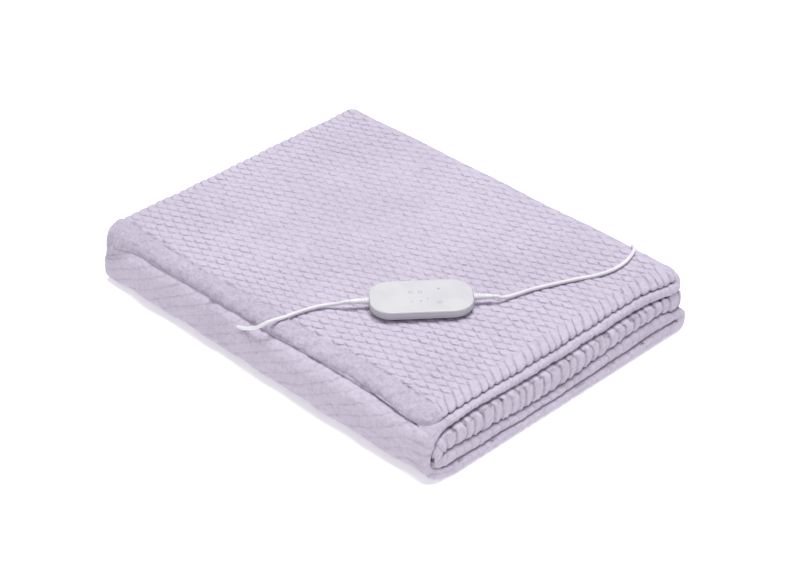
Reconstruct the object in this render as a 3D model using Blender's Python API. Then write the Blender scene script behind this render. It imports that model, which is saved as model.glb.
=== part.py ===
"""An electric heated blanket, folded into a stack, with its hand control and leads.

Metres, +Z up. The origin is the middle of the stack's underside. +X runs along the stack's
long side to its near end, where the ends of the layers show, and +Y runs from the side with
the hem and the big outer fold to the side with the two narrow folds.

The cloth goes back and forth across Y. From the hem it is the top layer, turns down at +Y,
comes back as the second layer, turns down in the big fold at -Y, runs out as the bottom
layer, turns up at +Y, comes back as the fourth layer, turns up inside the big fold, and ends
as the middle layer. What shows as one layer is the cloth folded in three across its width.
"""

import math

import bmesh
import bpy
import numpy as np
from mathutils import Matrix, Vector

CLEAR = 0.0003  # between pieces that touch

# ---- the stack -------------------------------------------------------------------------
STACK_HEIGHT = 0.068
BIG_FOLD_OUT = 0.1940  # how far each fold or edge reaches from the middle, along Y
BIG_FOLD_SPLAY = 0.0042  # the big fold reaches this much further at its near end
BOTTOM_FOLD_OUT = 0.1945
TOP_FOLD_OUT = 0.1925
MIDDLE_EDGE_OUT = 0.1910
HEM_OUT = 0.1900
RIGHT_TURN = 0.178  # where the layers start to turn at +Y
LEFT_TURN = 0.162  # where they start to turn at -Y
HEM_TURN = 0.010  # depth of the hem's round nose
EDGE_TURN = 0.009  # depth of the middle layer's round edge
FOLD_ROUNDNESS = 2.8  # 2 is an ellipse, and more is squarer
BIG_FOLD_WIDEST = 0.020  # the height at which the big fold reaches furthest
BIG_FOLD_WALL = 0.0095  # the cloth in the big outer fold
NEST_GAP = 0.0016  # between the big fold and the fold inside it
LAYER_GAP = 0.0009
OPEN_GAP = 0.0028  # the gap under the second layer, which gapes at the near end
OPENS_FROM, OPENS_OVER = -0.05, 0.30  # where along X it starts to gape, and over how far
END_ROLL = 0.0085  # how far each layer's rolled end is rounded along X
CORNER_ROUND = 0.015  # in plan
CORNER_SHARE = 0.5  # how much of that the corners lose at their tips
EDGE_WOBBLE = 0.0012  # the folds run out of straight by this much
END_WOBBLE = 0.0009
TOP_CORNER_OUT = 0.0070  # the top fold reaches this much further along X at its near corner
TOP_CORNER_FROM, TOP_CORNER_OVER = 0.120, 0.055  # where that starts along Y, and its blend

# Where the rolled ends of the layers are along X.
LAYER_ENDS = (
    # layer, near end, far end
    ("top", 0.2390, -0.2520),
    ("second", 0.2445, -0.2495),
    ("middle", 0.2520, -0.2515),
    ("fourth", 0.2545, -0.2540),
    ("bottom", 0.2575, -0.2575),
)

# Heights of the gaps between the layers at the two ends of the stack, in millimetres.
NEAR_GAPS = (
    # y, under_top, under_second, under_middle, under_fourth
    (-178, 55.0, 41.0, 29.0, 12.5),
    (-150, 56.5, 46.5, 26.0, 10.5),
    (-110, 57.0, 47.5, 22.5, 10.0),
    (-50, 55.0, 45.0, 17.5, 9.0),
    (0, 55.0, 45.0, 17.5, 9.5),
    (50, 56.0, 46.0, 23.0, 11.0),
    (105, 57.5, 47.0, 28.5, 12.5),
    (150, 58.0, 47.5, 30.0, 14.5),
    (178, 57.0, 46.0, 24.0, 12.0),
)
FAR_GAPS = (
    # y, under_top, under_second, under_middle, under_fourth
    (-178, 45.0, 37.5, 25.0, 11.5),
    (-150, 51.0, 40.0, 27.0, 12.5),
    (-110, 54.5, 41.5, 28.0, 14.0),
    (-50, 55.5, 43.0, 29.5, 15.0),
    (0, 54.5, 42.0, 28.5, 13.5),
    (50, 54.0, 41.0, 27.0, 12.5),
    (105, 55.5, 42.5, 28.5, 13.5),
    (150, 56.0, 43.5, 29.5, 14.5),
    (178, 55.5, 43.5, 27.0, 13.5),
)
UNDER_TOP, UNDER_SECOND, UNDER_MIDDLE, UNDER_FOURTH = 1, 2, 3, 4

# Slow waves along X that make the gaps uneven.
GAP_WAVES = {
    # gap: (height, length along X, shift)
    UNDER_TOP: (0.0006, 0.190, 0.10),
    UNDER_SECOND: (0.0008, 0.230, 0.45),
    UNDER_MIDDLE: (0.0010, 0.170, 0.80),
    UNDER_FOURTH: (0.0007, 0.210, 0.25),
}

TOP_WAVES = (
    # height, length along X, length along Y, shift
    (0.0004, 0.23, 0.31, 0.0),
    (0.0003, 0.14, -0.19, 0.3),
)
HEM_CROWN = 0.0008  # the hem stands this proud of the top
HEM_CROWN_Y = -0.177
HEM_CROWN_WIDTH = 0.006
HEM_SEAM_Y = -0.1655  # the sewn line inside the hem
HEM_SEAM_DEPTH = 0.0016
HEM_SEAM_WIDTH = 0.0035
NEAR_DROOP = 0.0035  # the top sinks by this much toward its near end
NEAR_DROOP_FROM = 0.208

# Counts of facets.
LAYER_STEPS = 10
SMALL_TURN_STEPS = 6
BIG_TURN_STEPS = 10
NOSE_STEPS = 4
LENGTH_STEPS = 20
ROLL_ANGLES = (0, 32, 56, 76)  # degrees round each layer's rolled end

# ---- the hand control ------------------------------------------------------------------
CONTROL_AT = (0.0984, -0.0509)
CONTROL_TURN = math.radians(49.0)  # its long axis from +X
CONTROL_LENGTH = 0.107
CONTROL_WIDTH = 0.0585
CONTROL_CORNER = 0.0225
CONTROL_SEAT = 0.0672  # underside, pressed a little into the cloth
CONTROL_TOP = 0.0795
PARTING_HEIGHT = 0.0730
COVER_EDGE = 0.0018
BASE_TUCK = 0.0055  # the lower shell is this much smaller at its underside
BASE_CURVE = (
    # share of the lower shell's height, share of the tuck
    (0.00, 1.00),
    (0.28, 0.62),
    (0.62, 0.16),
    (1.00, 0.00),
)
COVER_CURVE = (
    # share of the top edge's rounding: down from the top, inward
    (1.00, 0.00),
    (0.29, 0.29),
    (0.00, 1.00),
)
PRESSED_MARGIN = 0.020  # the cloth is pressed flat this far past the control's edge
PRESSED_BLEND = 0.030  # and rises to its free height over this width

RELIEF_HEIGHT = 0.0752
RELIEF_LENGTH = 0.020
RELIEF_THICK = 0.0078
RELIEF_THIN = 0.0050
RELIEF_RIBS = 4
RELIEF_RIBBED = 0.62  # the ribbed share of its length
RELIEF_GROOVE = 0.0007

# ---- the leads -------------------------------------------------------------------------
CORD_DIAMETER = 0.0040
CORD_SPACING = 3 * CORD_DIAMETER
CORD_STRAIGHT = 0.004  # a lead's straight end in a strain relief's line
CURVE_STEPS = 12

BLANKET_LEAD_ROUTE = (
    # x, y, z: out of the control's far relief, over the hem, and into the big fold
    (0.0442, -0.1126, 0.0737),
    (0.0375, -0.1180, 0.0716),
    (0.0318, -0.1255, 0.0709),
    (0.0275, -0.1350, 0.0709),
    (0.0243, -0.1450, 0.0709),
    (0.0215, -0.1560, 0.0709),
    (0.0188, -0.1680, 0.0708),
    (0.0160, -0.1790, 0.0713),
    (0.0135, -0.1870, 0.0708),
    (0.0103, -0.1915, 0.0682),
    (0.0040, -0.1932, 0.0632),
    (-0.0050, -0.1932, 0.0578),
    (-0.0148, -0.1925, 0.0524),
    (-0.0233, -0.1915, 0.0488),
    (-0.0296, -0.1903, 0.0464),
)
MAINS_ROUTE = (
    # x, y, z: out of the near relief, over the top fold, down behind it and along the floor
    (0.1521, 0.0105, 0.0735),
    (0.1548, 0.0200, 0.0714),
    (0.1580, 0.0330, 0.0708),
    (0.1622, 0.0480, 0.0708),
    (0.1688, 0.0640, 0.0709),
    (0.1757, 0.0800, 0.0710),
    (0.1835, 0.0970, 0.0710),
    (0.1920, 0.1140, 0.0710),
    (0.1972, 0.1320, 0.0710),
    (0.1978, 0.1500, 0.0710),
    (0.1944, 0.1665, 0.0710),
    (0.1885, 0.1800, 0.0708),
    (0.1822, 0.1868, 0.0698),
    (0.1766, 0.1930, 0.0655),
    (0.1728, 0.1962, 0.0580),
    (0.1693, 0.1968, 0.0480),
    (0.1640, 0.1968, 0.0365),
    (0.1560, 0.1972, 0.0240),
    (0.1440, 0.1982, 0.0115),
    (0.1290, 0.1988, 0.0042),
    (0.1100, 0.1986, 0.0022),
    (0.0700, 0.1978, 0.0022),
    (0.0200, 0.1968, 0.0022),
    (-0.0400, 0.1978, 0.0022),
    (-0.1000, 0.1968, 0.0022),
    (-0.1600, 0.1976, 0.0022),
    (-0.2100, 0.1976, 0.0024),
    (-0.2400, 0.1956, 0.0032),
    (-0.2600, 0.1912, 0.0040),
)

COIL_AT = (-0.2790, 0.2165)
COIL_MIDDLE_DIAMETER = 0.042
COIL_WIDTH = 0.0124
COIL_THICKNESS = 0.0116
COIL_ROUNDNESS = 2.6
COIL_FLOOR = 0.0012  # the tie's lower strand holds the coil this far off the floor
COIL_STEPS = 32
COIL_IN_ANGLE = math.radians(285)  # where the lead comes to the coil, round it from +X
COIL_OUT_ANGLE = math.radians(75)
TIE_ANGLE = math.radians(200)
TIE_WIDTH = 0.006
TIE_THICKNESS = 0.0008

TAIL_ROUTE = (
    # x, y, z: from the coil to the plug
    (-0.2600, 0.2425, 0.0080),
    (-0.2510, 0.2390, 0.0074),
    (-0.2430, 0.2320, 0.0070),
)

# ---- the plug --------------------------------------------------------------------------
PLUG_AT = (-0.2350, 0.2265)  # the thin end of its strain relief
PLUG_TURN = math.radians(-12)
PLUG_AXIS_HEIGHT = 0.0069
PLUG_SECTIONS = (
    # along the plug, width, thickness
    (0.000, 0.0052, 0.0052),
    (0.010, 0.0064, 0.0062),
    (0.020, 0.0082, 0.0076),
    (0.022, 0.0130, 0.0110),
    (0.030, 0.0200, 0.0134),
    (0.040, 0.0262, 0.0138),
    (0.055, 0.0262, 0.0138),
    (0.0565, 0.0246, 0.0124),
)
PLUG_ROUNDNESS = 3.2
PIN_DIAMETER = 0.004
PIN_LENGTH = 0.019
PIN_SPACING = 0.0186


def clear_scene():
    for o in list(bpy.data.objects):
        bpy.data.objects.remove(o, do_unlink=True)


def material(name, colour, roughness, metallic=0.0):
    m = bpy.data.materials.new(name)
    m.use_nodes = True
    shader = m.node_tree.nodes["Principled BSDF"]
    shader.inputs["Base Color"].default_value = (*colour, 1.0)
    shader.inputs["Roughness"].default_value = roughness
    shader.inputs["Metallic"].default_value = metallic
    return m


def place(name, data, mat, smooth_angle=None):
    """A new object in the scene, with its material."""
    o = bpy.data.objects.new(name, data)
    bpy.context.scene.collection.objects.link(o)
    data.materials.append(mat)
    if smooth_angle is not None:
        data.shade_smooth()
        data.set_sharp_from_angle(angle=math.radians(smooth_angle))
    return o


def ring_mesh(name, rings, ends):
    """A closed solid through rings of the same number of points. Its ends are "filled" with one
    face each, closed by "strips" across the ring, or "joined" to each other."""
    bm = bmesh.new()
    loops = [[bm.verts.new(p) for p in ring] for ring in rings]
    count = len(loops[0])
    followers = loops[1:] + loops[:1] if ends == "joined" else loops[1:]
    for loop, following in zip(loops, followers):
        for i in range(count):
            j = (i + 1) % count
            bm.faces.new((loop[i], loop[j], following[j], following[i]))
    for loop in (loops[0], loops[-1]):
        if ends == "filled":
            bm.faces.new(loop)
        elif ends == "strips":
            for i in range(count // 2 - 1):
                bm.faces.new((loop[i], loop[i + 1], loop[count - 2 - i], loop[count - 1 - i]))
    bmesh.ops.recalc_face_normals(bm, faces=bm.faces)
    mesh = bpy.data.meshes.new(name)
    bm.to_mesh(mesh)
    bm.free()
    return mesh


# ---- the blanket -----------------------------------------------------------------------


def ease(t):
    t = min(max(t, 0.0), 1.0)
    return t * t * (3 - 2 * t)


def mix(a, b, t):
    return a + (b - a) * t


def table_height(table, column, y):
    """A gap's height at y, eased from row to row, in metres."""
    at = y * 1000
    rows = sorted(table)
    if at <= rows[0][0]:
        return rows[0][column] / 1000
    for low, high in zip(rows, rows[1:]):
        if at <= high[0]:
            share = (at - low[0]) / (high[0] - low[0])
            return mix(low[column], high[column], ease(share)) / 1000
    return rows[-1][column] / 1000


def gap_height(column, x, y):
    """The height of the middle of a gap between two layers."""
    near = LAYER_ENDS[-1][1]
    share = ease((x + near) / (2 * near))
    height, length, shift = GAP_WAVES[column]
    wave = height * math.sin(2 * math.pi * (x / length + shift + 2 * y))
    far_part = table_height(FAR_GAPS, column, y)
    return mix(far_part, table_height(NEAR_GAPS, column, y), share) + wave


def gap_half(column, x):
    """Half the gap between two layers; the one under the second layer gapes at the near end."""
    if column != UNDER_SECOND:
        return LAYER_GAP / 2
    return mix(LAYER_GAP, OPEN_GAP, ease((x - OPENS_FROM) / OPENS_OVER)) / 2


def past_control(x, y):
    """How far outside the hand control's outline a point is in plan."""
    dx, dy = x - CONTROL_AT[0], y - CONTROL_AT[1]
    along = dx * math.cos(CONTROL_TURN) + dy * math.sin(CONTROL_TURN)
    across = dy * math.cos(CONTROL_TURN) - dx * math.sin(CONTROL_TURN)
    beyond = max(abs(along) - (CONTROL_LENGTH - CONTROL_WIDTH) / 2, 0)
    return math.hypot(beyond, across) - CONTROL_WIDTH / 2


def by_top_corner(y):
    return ease((y - TOP_CORNER_FROM) / TOP_CORNER_OVER)


def top_height(x, y):
    """The upper face of the top layer."""
    free = ease((past_control(x, y) - PRESSED_MARGIN) / PRESSED_BLEND)
    wave = sum(
        height * math.sin(2 * math.pi * (x / along + y / across + shift))
        for height, along, across, shift in TOP_WAVES
    )
    pressed = CONTROL_SEAT - CLEAR - STACK_HEIGHT
    seam = HEM_SEAM_DEPTH * math.exp(-(((y - HEM_SEAM_Y) / HEM_SEAM_WIDTH) ** 2))
    crown = HEM_CROWN * math.exp(-(((y - HEM_CROWN_Y) / HEM_CROWN_WIDTH) ** 2))
    past_ridge = max(x - NEAR_DROOP_FROM, 0) / (LAYER_ENDS[0][1] - END_ROLL - NEAR_DROOP_FROM)
    droop = NEAR_DROOP * past_ridge**2 * (1 - by_top_corner(y))
    return STACK_HEIGHT + mix(pressed, wave, free) - seam + crown - droop


def rounded(angle, roundness):
    """A point of a unit circle that is squarer where roundness is over 2."""
    c, s = math.cos(angle), math.sin(angle)
    power = 2 / roundness
    return math.copysign(abs(c) ** power, c), math.copysign(abs(s) ** power, s)


def turn(start_y, reach_y, top, bottom, steps, widest=None):
    """Points of one face of a turn of the cloth, from its top to its bottom and without those
    two. reach_y is the furthest point, at the height widest."""
    widest = (top + bottom) / 2 if widest is None else widest
    points = []
    for k in range(1, steps):
        out, up = rounded(math.pi / 2 - math.pi * k / steps, FOLD_ROUNDNESS)
        height = top - widest if up > 0 else widest - bottom
        points.append((mix(start_y, reach_y, out), widest + up * height))
    return points


def layer_ys(y_from, y_to, extra=()):
    """Where a layer's points are across the stack, its ends included."""
    ys = [mix(y_from, y_to, k / LAYER_STEPS) for k in range(LAYER_STEPS + 1)]
    ys += [y for y in extra if min(y_from, y_to) < y < max(y_from, y_to)]
    return sorted(ys, reverse=y_from > y_to)


class Section:
    """The cloth's two faces in the plane at x, as rows of (outer y, outer z, inner y, inner z,
    layer), from the hem to the cloth's other end. The outer face is the top layer's upper one.
    The layer counts along LAYER_ENDS, and lies between two whole numbers in a turn."""

    def __init__(self, x):
        self.x = x
        self.wobble = EDGE_WOBBLE * math.sin(2 * math.pi * (x / 0.16 + 0.2))
        self.rows = []

    def over(self, column, y):
        return gap_height(column, self.x, y) + gap_half(column, self.x)

    def under(self, column, y):
        return gap_height(column, self.x, y) - gap_half(column, self.x)

    def upper(self, layer, y):
        """The layer's upper face, above the gap of the same number."""
        return top_height(self.x, y) if layer == 0 else self.under(layer, y)

    def lower(self, layer, y):
        return 0.0 if layer == len(LAYER_ENDS) - 1 else self.over(layer + 1, y)

    def flat(self, ys, layer, outer_is_up):
        for y in ys:
            faces = (self.upper(layer, y), self.lower(layer, y))
            outer, inner = faces if outer_is_up else faces[::-1]
            self.rows.append((y, outer, y, inner, layer))

    def fold(self, outer_points, inner_points, first, last):
        count = len(outer_points) + 1
        for k, (outer, inner) in enumerate(zip(outer_points, inner_points), start=1):
            self.rows.append((*outer, *inner, mix(first, last, k / count)))

    def edge(self, tip_y, start_y, layer, at_start):
        """A rounded edge, where the cloth begins or ends."""
        top, bottom = self.upper(layer, start_y), self.lower(layer, start_y)
        made = []
        for k in range(NOSE_STEPS):
            angle = math.pi / 2 * (k + 0.5) / (NOSE_STEPS + 0.5)
            y = mix(start_y, tip_y, math.cos(angle))
            middle, half = (top + bottom) / 2, (top - bottom) / 2 * math.sin(angle)
            made.append((y, middle + half, y, middle - half, layer))
        self.rows += made if at_start else made[::-1]


def section_rows(x):
    s = Section(x)
    right, left = RIGHT_TURN, -LEFT_TURN
    slack = abs(s.wobble) / 2
    splay = BIG_FOLD_SPLAY * ease(0.5 + x / LAYER_ENDS[-1][1])
    big_out = -BIG_FOLD_OUT - splay + slack
    big_in = big_out + BIG_FOLD_WALL
    hem_start = -HEM_OUT + HEM_TURN
    edge_start = MIDDLE_EDGE_OUT - EDGE_TURN
    seam_ys = [HEM_SEAM_Y + k * HEM_SEAM_WIDTH for k in (-1.6, -0.7, 0, 0.7, 1.6)]

    # the top layer, from the hem, then down at +Y into the second
    s.edge(-HEM_OUT + s.wobble / 2, hem_start, 0, at_start=True)
    s.flat(layer_ys(hem_start, right, seam_ys), 0, outer_is_up=True)
    s.fold(
        turn(right, TOP_FOLD_OUT + s.wobble / 2, s.upper(0, right), s.lower(1, right),
             SMALL_TURN_STEPS),
        turn(right, right + LAYER_GAP, s.lower(0, right), s.upper(1, right), SMALL_TURN_STEPS),
        0, 1,
    )
    s.flat(layer_ys(right, left), 1, outer_is_up=False)

    # down in the big fold at -Y into the bottom layer
    s.fold(
        turn(left, big_in, s.lower(1, left), s.upper(4, left), BIG_TURN_STEPS,
             BIG_FOLD_WIDEST + LAYER_GAP),
        turn(left, big_out, s.upper(1, left), 0.0, BIG_TURN_STEPS, BIG_FOLD_WIDEST),
        1, 4,
    )
    s.flat(layer_ys(left, right), 4, outer_is_up=True)

    # up at +Y into the fourth layer
    s.fold(
        turn(right, right + LAYER_GAP, s.lower(3, right), s.upper(4, right),
             SMALL_TURN_STEPS)[::-1],
        turn(right, BOTTOM_FOLD_OUT - slack, s.upper(3, right), 0.0, SMALL_TURN_STEPS)[::-1],
        4, 3,
    )
    s.flat(layer_ys(right, left), 3, outer_is_up=False)

    # up inside the big fold into the middle layer, and to its edge
    s.fold(
        turn(left, big_in + NEST_GAP, s.upper(2, left), s.lower(3, left),
             BIG_TURN_STEPS)[::-1],
        turn(left, left - LAYER_GAP, s.lower(2, left), s.upper(3, left), BIG_TURN_STEPS)[::-1],
        3, 2,
    )
    s.flat(layer_ys(left, edge_start), 2, outer_is_up=True)
    s.edge(MIDDLE_EDGE_OUT - s.wobble / 2, edge_start, 2, at_start=False)
    return s.rows


def end_of(layer, y, column):
    """Where the rolled end is along X, for a place between two layers, rounded in plan."""
    ends = [row[column] for row in LAYER_ENDS]
    value = float(np.interp(layer, range(len(ends)), ends))
    into_corner = (abs(y) - (BIG_FOLD_OUT - CORNER_ROUND)) / CORNER_ROUND
    into_corner = min(max(into_corner, 0.0), 0.98)
    rounding = CORNER_ROUND * CORNER_SHARE * (1 - math.sqrt(1 - into_corner**2))
    uneven = END_WOBBLE * abs(math.sin(2 * math.pi * (y / 0.11 + 0.37 * layer)))
    if layer == len(ends) - 1:
        uneven = 0.0
    longer = TOP_CORNER_OUT * by_top_corner(y) if layer <= 1 and value > 0 else 0.0
    return value + longer - math.copysign(rounding + uneven, value)


def blanket_mesh():
    """The whole cloth, as rings round the section, from the far end to the near one."""
    end = LAYER_ENDS[-1][1]
    body_share = (end - END_ROLL) / end
    stations = [(-body_share, angle) for angle in ROLL_ANGLES[:0:-1]]
    for k in range(LENGTH_STEPS + 1):
        stations.append((body_share * math.sin(math.pi * (k / LENGTH_STEPS - 0.5)), 0))
    stations += [(body_share, angle) for angle in ROLL_ANGLES[1:]]
    rings = []
    for share, angle in stations:
        closing = math.cos(math.radians(angle))
        rolled = math.copysign(END_ROLL * math.sin(math.radians(angle)), share)
        outer, inner = [], []
        for outer_y, outer_z, inner_y, inner_z, layer in section_rows(share * end):
            y, z = (outer_y + inner_y) / 2, (outer_z + inner_z) / 2
            near, far = end_of(layer, y, 1) - END_ROLL, end_of(layer, y, 2) + END_ROLL
            x = mix(far, near, (share / body_share + 1) / 2) + rolled
            outer.append((x, mix(y, outer_y, closing), mix(z, outer_z, closing)))
            inner.append((x, mix(y, inner_y, closing), mix(z, inner_z, closing)))
        rings.append(outer + inner[::-1])
    return ring_mesh("blanket", rings, "strips")


# ---- the hand control ------------------------------------------------------------------


def rounded_outline(length, width, corner, steps=7):
    """The outline of the control in plan, going round from its +Y corner at +X."""
    points = []
    for k, (sx, sy) in enumerate(((1, 1), (-1, 1), (-1, -1), (1, -1))):
        cx, cy = sx * (length / 2 - corner), sy * (width / 2 - corner)
        for step in range(steps + 1):
            angle = math.pi / 2 * (k + step / steps)
            points.append((cx + corner * math.cos(angle), cy + corner * math.sin(angle)))
    return points


def control_place():
    return Matrix.Translation((*CONTROL_AT, 0)) @ Matrix.Rotation(CONTROL_TURN, 4, "Z")


def shell(name, levels, mat):
    """A shell of the control through levels of (height, how much smaller than the outline)."""
    rings = []
    for height, inset in levels:
        outline = rounded_outline(
            CONTROL_LENGTH - 2 * inset, CONTROL_WIDTH - 2 * inset, CONTROL_CORNER - inset
        )
        rings.append([(x, y, height) for x, y in outline])
    o = place(name, ring_mesh(name, rings, "filled"), mat, 40)
    o.matrix_world = control_place()
    return o


def relief(name, side, mat):
    """A ribbed, tapered strain relief on one end of the control."""
    start = CONTROL_LENGTH / 2 + CLEAR
    profile = [(start, RELIEF_THICK / 2)]
    pitch = RELIEF_LENGTH * RELIEF_RIBBED / RELIEF_RIBS
    for k in range(RELIEF_RIBS):
        middle = start + pitch * (k + 0.5)
        radius = mix(RELIEF_THICK, RELIEF_THIN, (middle - start) / RELIEF_LENGTH) / 2
        for step, depth in ((-0.2, 0), (-0.08, RELIEF_GROOVE), (0.08, RELIEF_GROOVE), (0.2, 0)):
            profile.append((middle + pitch * step, radius - depth))
    profile.append((start + RELIEF_LENGTH, RELIEF_THIN / 2))
    sides = 12
    rings = []
    for along, radius in profile:
        turns = [2 * math.pi * k / sides for k in range(sides)]
        rings.append([
            (side * along, radius * math.cos(a), RELIEF_HEIGHT + radius * math.sin(a))
            for a in turns
        ])
    o = place(name, ring_mesh(name, rings, "filled"), mat, 35)
    o.matrix_world = control_place()
    return o


def relief_tip(side):
    """Where the lead leaves a strain relief, and which way."""
    along = CONTROL_LENGTH / 2 + CLEAR + RELIEF_LENGTH + CLEAR
    at = control_place() @ Vector((side * along, 0, RELIEF_HEIGHT))
    way = control_place().to_3x3() @ Vector((side, 0, 0))
    return at, way


# ---- leads -----------------------------------------------------------------------------


def smooth_line(points, spacing):
    """Points on a smooth curve through the route's own points. The first two and the last two
    are the route's, so that each end points straight along them, and the rest are evenly apart."""
    p = [Vector(q) for q in points]
    p = [2 * p[0] - p[1], *p, 2 * p[-1] - p[-2]]
    fine = []
    for a, b, c, d in zip(p, p[1:], p[2:], p[3:]):
        for k in range(CURVE_STEPS):
            t = k / CURVE_STEPS
            fine.append(0.5 * (2 * b + (c - a) * t + (2 * a - 5 * b + 4 * c - d) * t * t
                               + (3 * b - a - 3 * c + d) * t**3))
    fine.append(p[-2])
    lengths = np.cumsum([0] + [(b - a).length for a, b in zip(fine, fine[1:])])
    first, last = lengths[CURVE_STEPS], lengths[-1 - CURVE_STEPS]
    between = np.linspace(first, last, max(2, round((last - first) / spacing) + 1))
    fine = np.array(fine)
    return [
        tuple(np.interp(s, lengths, fine[:, axis]) for axis in range(3))
        for s in (0, *between, lengths[-1])
    ]


def tube(name, points, mat):
    """A cord along points: a round curve with filled caps."""
    data = bpy.data.curves.new(name, "CURVE")
    data.dimensions = "3D"
    data.bevel_depth = CORD_DIAMETER / 2
    data.bevel_resolution = 2
    data.use_fill_caps = True
    spline = data.splines.new("POLY")
    line = smooth_line(points, CORD_SPACING)
    spline.points.add(len(line) - 1)
    for point, q in zip(spline.points, line):
        point.co = (*q, 1.0)
    return place(name, data, mat)


def coil_point(angle, out=0.0, up=0.0):
    """A point by the coil's ring: out from its middle circle, and up from its middle height."""
    radius = COIL_MIDDLE_DIAMETER / 2 + out
    height = COIL_FLOOR + COIL_THICKNESS / 2 + up
    return Vector((COIL_AT[0] + radius * math.cos(angle), COIL_AT[1] + radius * math.sin(angle),
                   height))


def coil_mesh():
    """The outer shape of the wound lead: a ring with a rounded section."""
    sides = 12
    rings = []
    for k in range(COIL_STEPS):
        angle = 2 * math.pi * k / COIL_STEPS
        ring = []
        for side in range(sides):
            out, up = rounded(2 * math.pi * side / sides, COIL_ROUNDNESS)
            ring.append(coil_point(angle, out * COIL_WIDTH / 2, up * COIL_THICKNESS / 2))
        rings.append(ring)
    return ring_mesh("mains_coil", rings, "joined")


def tie_mesh():
    """A flat band round the coil."""
    sides = 16
    rings = []
    corners = ((CLEAR, -1), (CLEAR, 1), (CLEAR + TIE_THICKNESS, 1), (CLEAR + TIE_THICKNESS, -1))
    for k in range(sides):
        out, up = rounded(2 * math.pi * k / sides, COIL_ROUNDNESS)
        ring = []
        for extra, edge in corners:
            across = edge * TIE_WIDTH / COIL_MIDDLE_DIAMETER
            at = (out * (COIL_WIDTH / 2 + extra), up * (COIL_THICKNESS / 2 + extra))
            ring.append(coil_point(TIE_ANGLE + across, *at))
        rings.append(ring)
    return ring_mesh("coil_tie", rings, "joined")


# ---- the plug --------------------------------------------------------------------------


def plug_place():
    return Matrix.Translation((*PLUG_AT, PLUG_AXIS_HEIGHT)) @ Matrix.Rotation(PLUG_TURN, 4, "Z")


def plug_body(mat):
    """The moulded body, with its strain relief, through rounded sections."""
    sides = 20
    rings = []
    for along, width, thickness in PLUG_SECTIONS:
        ring = []
        for side in range(sides):
            out, up = rounded(2 * math.pi * (side + 0.5) / sides, PLUG_ROUNDNESS)
            ring.append((along, out * width / 2, up * thickness / 2))
        rings.append(ring)
    o = place("plug_body", ring_mesh("plug_body", rings, "filled"), mat, 40)
    o.matrix_world = plug_place()
    return o


def plug_pin(name, side, mat):
    start = PLUG_SECTIONS[-1][0] + CLEAR
    profile = (
        (start, PIN_DIAMETER / 2),
        (start + PIN_LENGTH - 0.0015, PIN_DIAMETER / 2),
        (start + PIN_LENGTH, PIN_DIAMETER / 2 - 0.001),
    )
    sides = 12
    rings = []
    for along, radius in profile:
        turns = [2 * math.pi * k / sides for k in range(sides)]
        rings.append([
            (along, side * PIN_SPACING / 2 + radius * math.cos(a), radius * math.sin(a))
            for a in turns
        ])
    o = place(name, ring_mesh(name, rings, "filled"), mat, 35)
    o.matrix_world = plug_place()
    return o


def build():
    clear_scene()
    fleece = material("fleece", (0.66, 0.61, 0.74), 0.95)
    white = material("control_white", (0.80, 0.80, 0.81), 0.45)
    vinyl = material("cord_vinyl", (0.82, 0.82, 0.82), 0.4)
    brass = material("pin_metal", (0.75, 0.72, 0.66), 0.3, 1.0)

    place("blanket", blanket_mesh(), fleece, 50)

    base_top = PARTING_HEIGHT - CLEAR / 2
    shell("control_base", [
        (mix(CONTROL_SEAT, base_top, up), BASE_TUCK * tuck) for up, tuck in BASE_CURVE
    ], white)
    edge = [(CONTROL_TOP - COVER_EDGE * down, COVER_EDGE * inward)
            for down, inward in COVER_CURVE]
    shell("control_cover", [(PARTING_HEIGHT + CLEAR / 2, 0.0), *edge], white)
    relief("relief_lead", -1, vinyl)
    relief("relief_mains", 1, vinyl)

    at, way = relief_tip(-1)
    tube("blanket_lead", [at, at + CORD_STRAIGHT * way, *BLANKET_LEAD_ROUTE], vinyl)
    at, way = relief_tip(1)
    coil_reach = COIL_WIDTH / 2 + CORD_DIAMETER / 2 + CLEAR
    arrival = coil_point(COIL_IN_ANGLE, coil_reach, -0.002)
    tube("mains_cord", [at, at + CORD_STRAIGHT * way, *MAINS_ROUTE, arrival], vinyl)
    place("mains_coil", coil_mesh(), vinyl, 50)
    place("coil_tie", tie_mesh(), vinyl, 50)
    leaving = coil_point(COIL_OUT_ANGLE, coil_reach, 0.001)
    before_plug = plug_place() @ Vector((-CLEAR - CORD_STRAIGHT, 0, 0))
    at_plug = plug_place() @ Vector((-CLEAR, 0, 0))
    tube("mains_tail", [leaving, *TAIL_ROUTE, before_plug, at_plug], vinyl)

    plug_body(vinyl)
    plug_pin("plug_pin_1", 1, brass)
    plug_pin("plug_pin_2", -1, brass)


build()
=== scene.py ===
"""The folded electric blanket as it looks: plush cloth with a woven lattice, a hand control,
its leads and the plug. Metres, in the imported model's own frame: +X to the near end of the
stack, +Y to the side with the two narrow folds, +Z up."""

import math

import bmesh
import bpy
import numpy as np
from mathutils import Matrix, Vector


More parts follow.
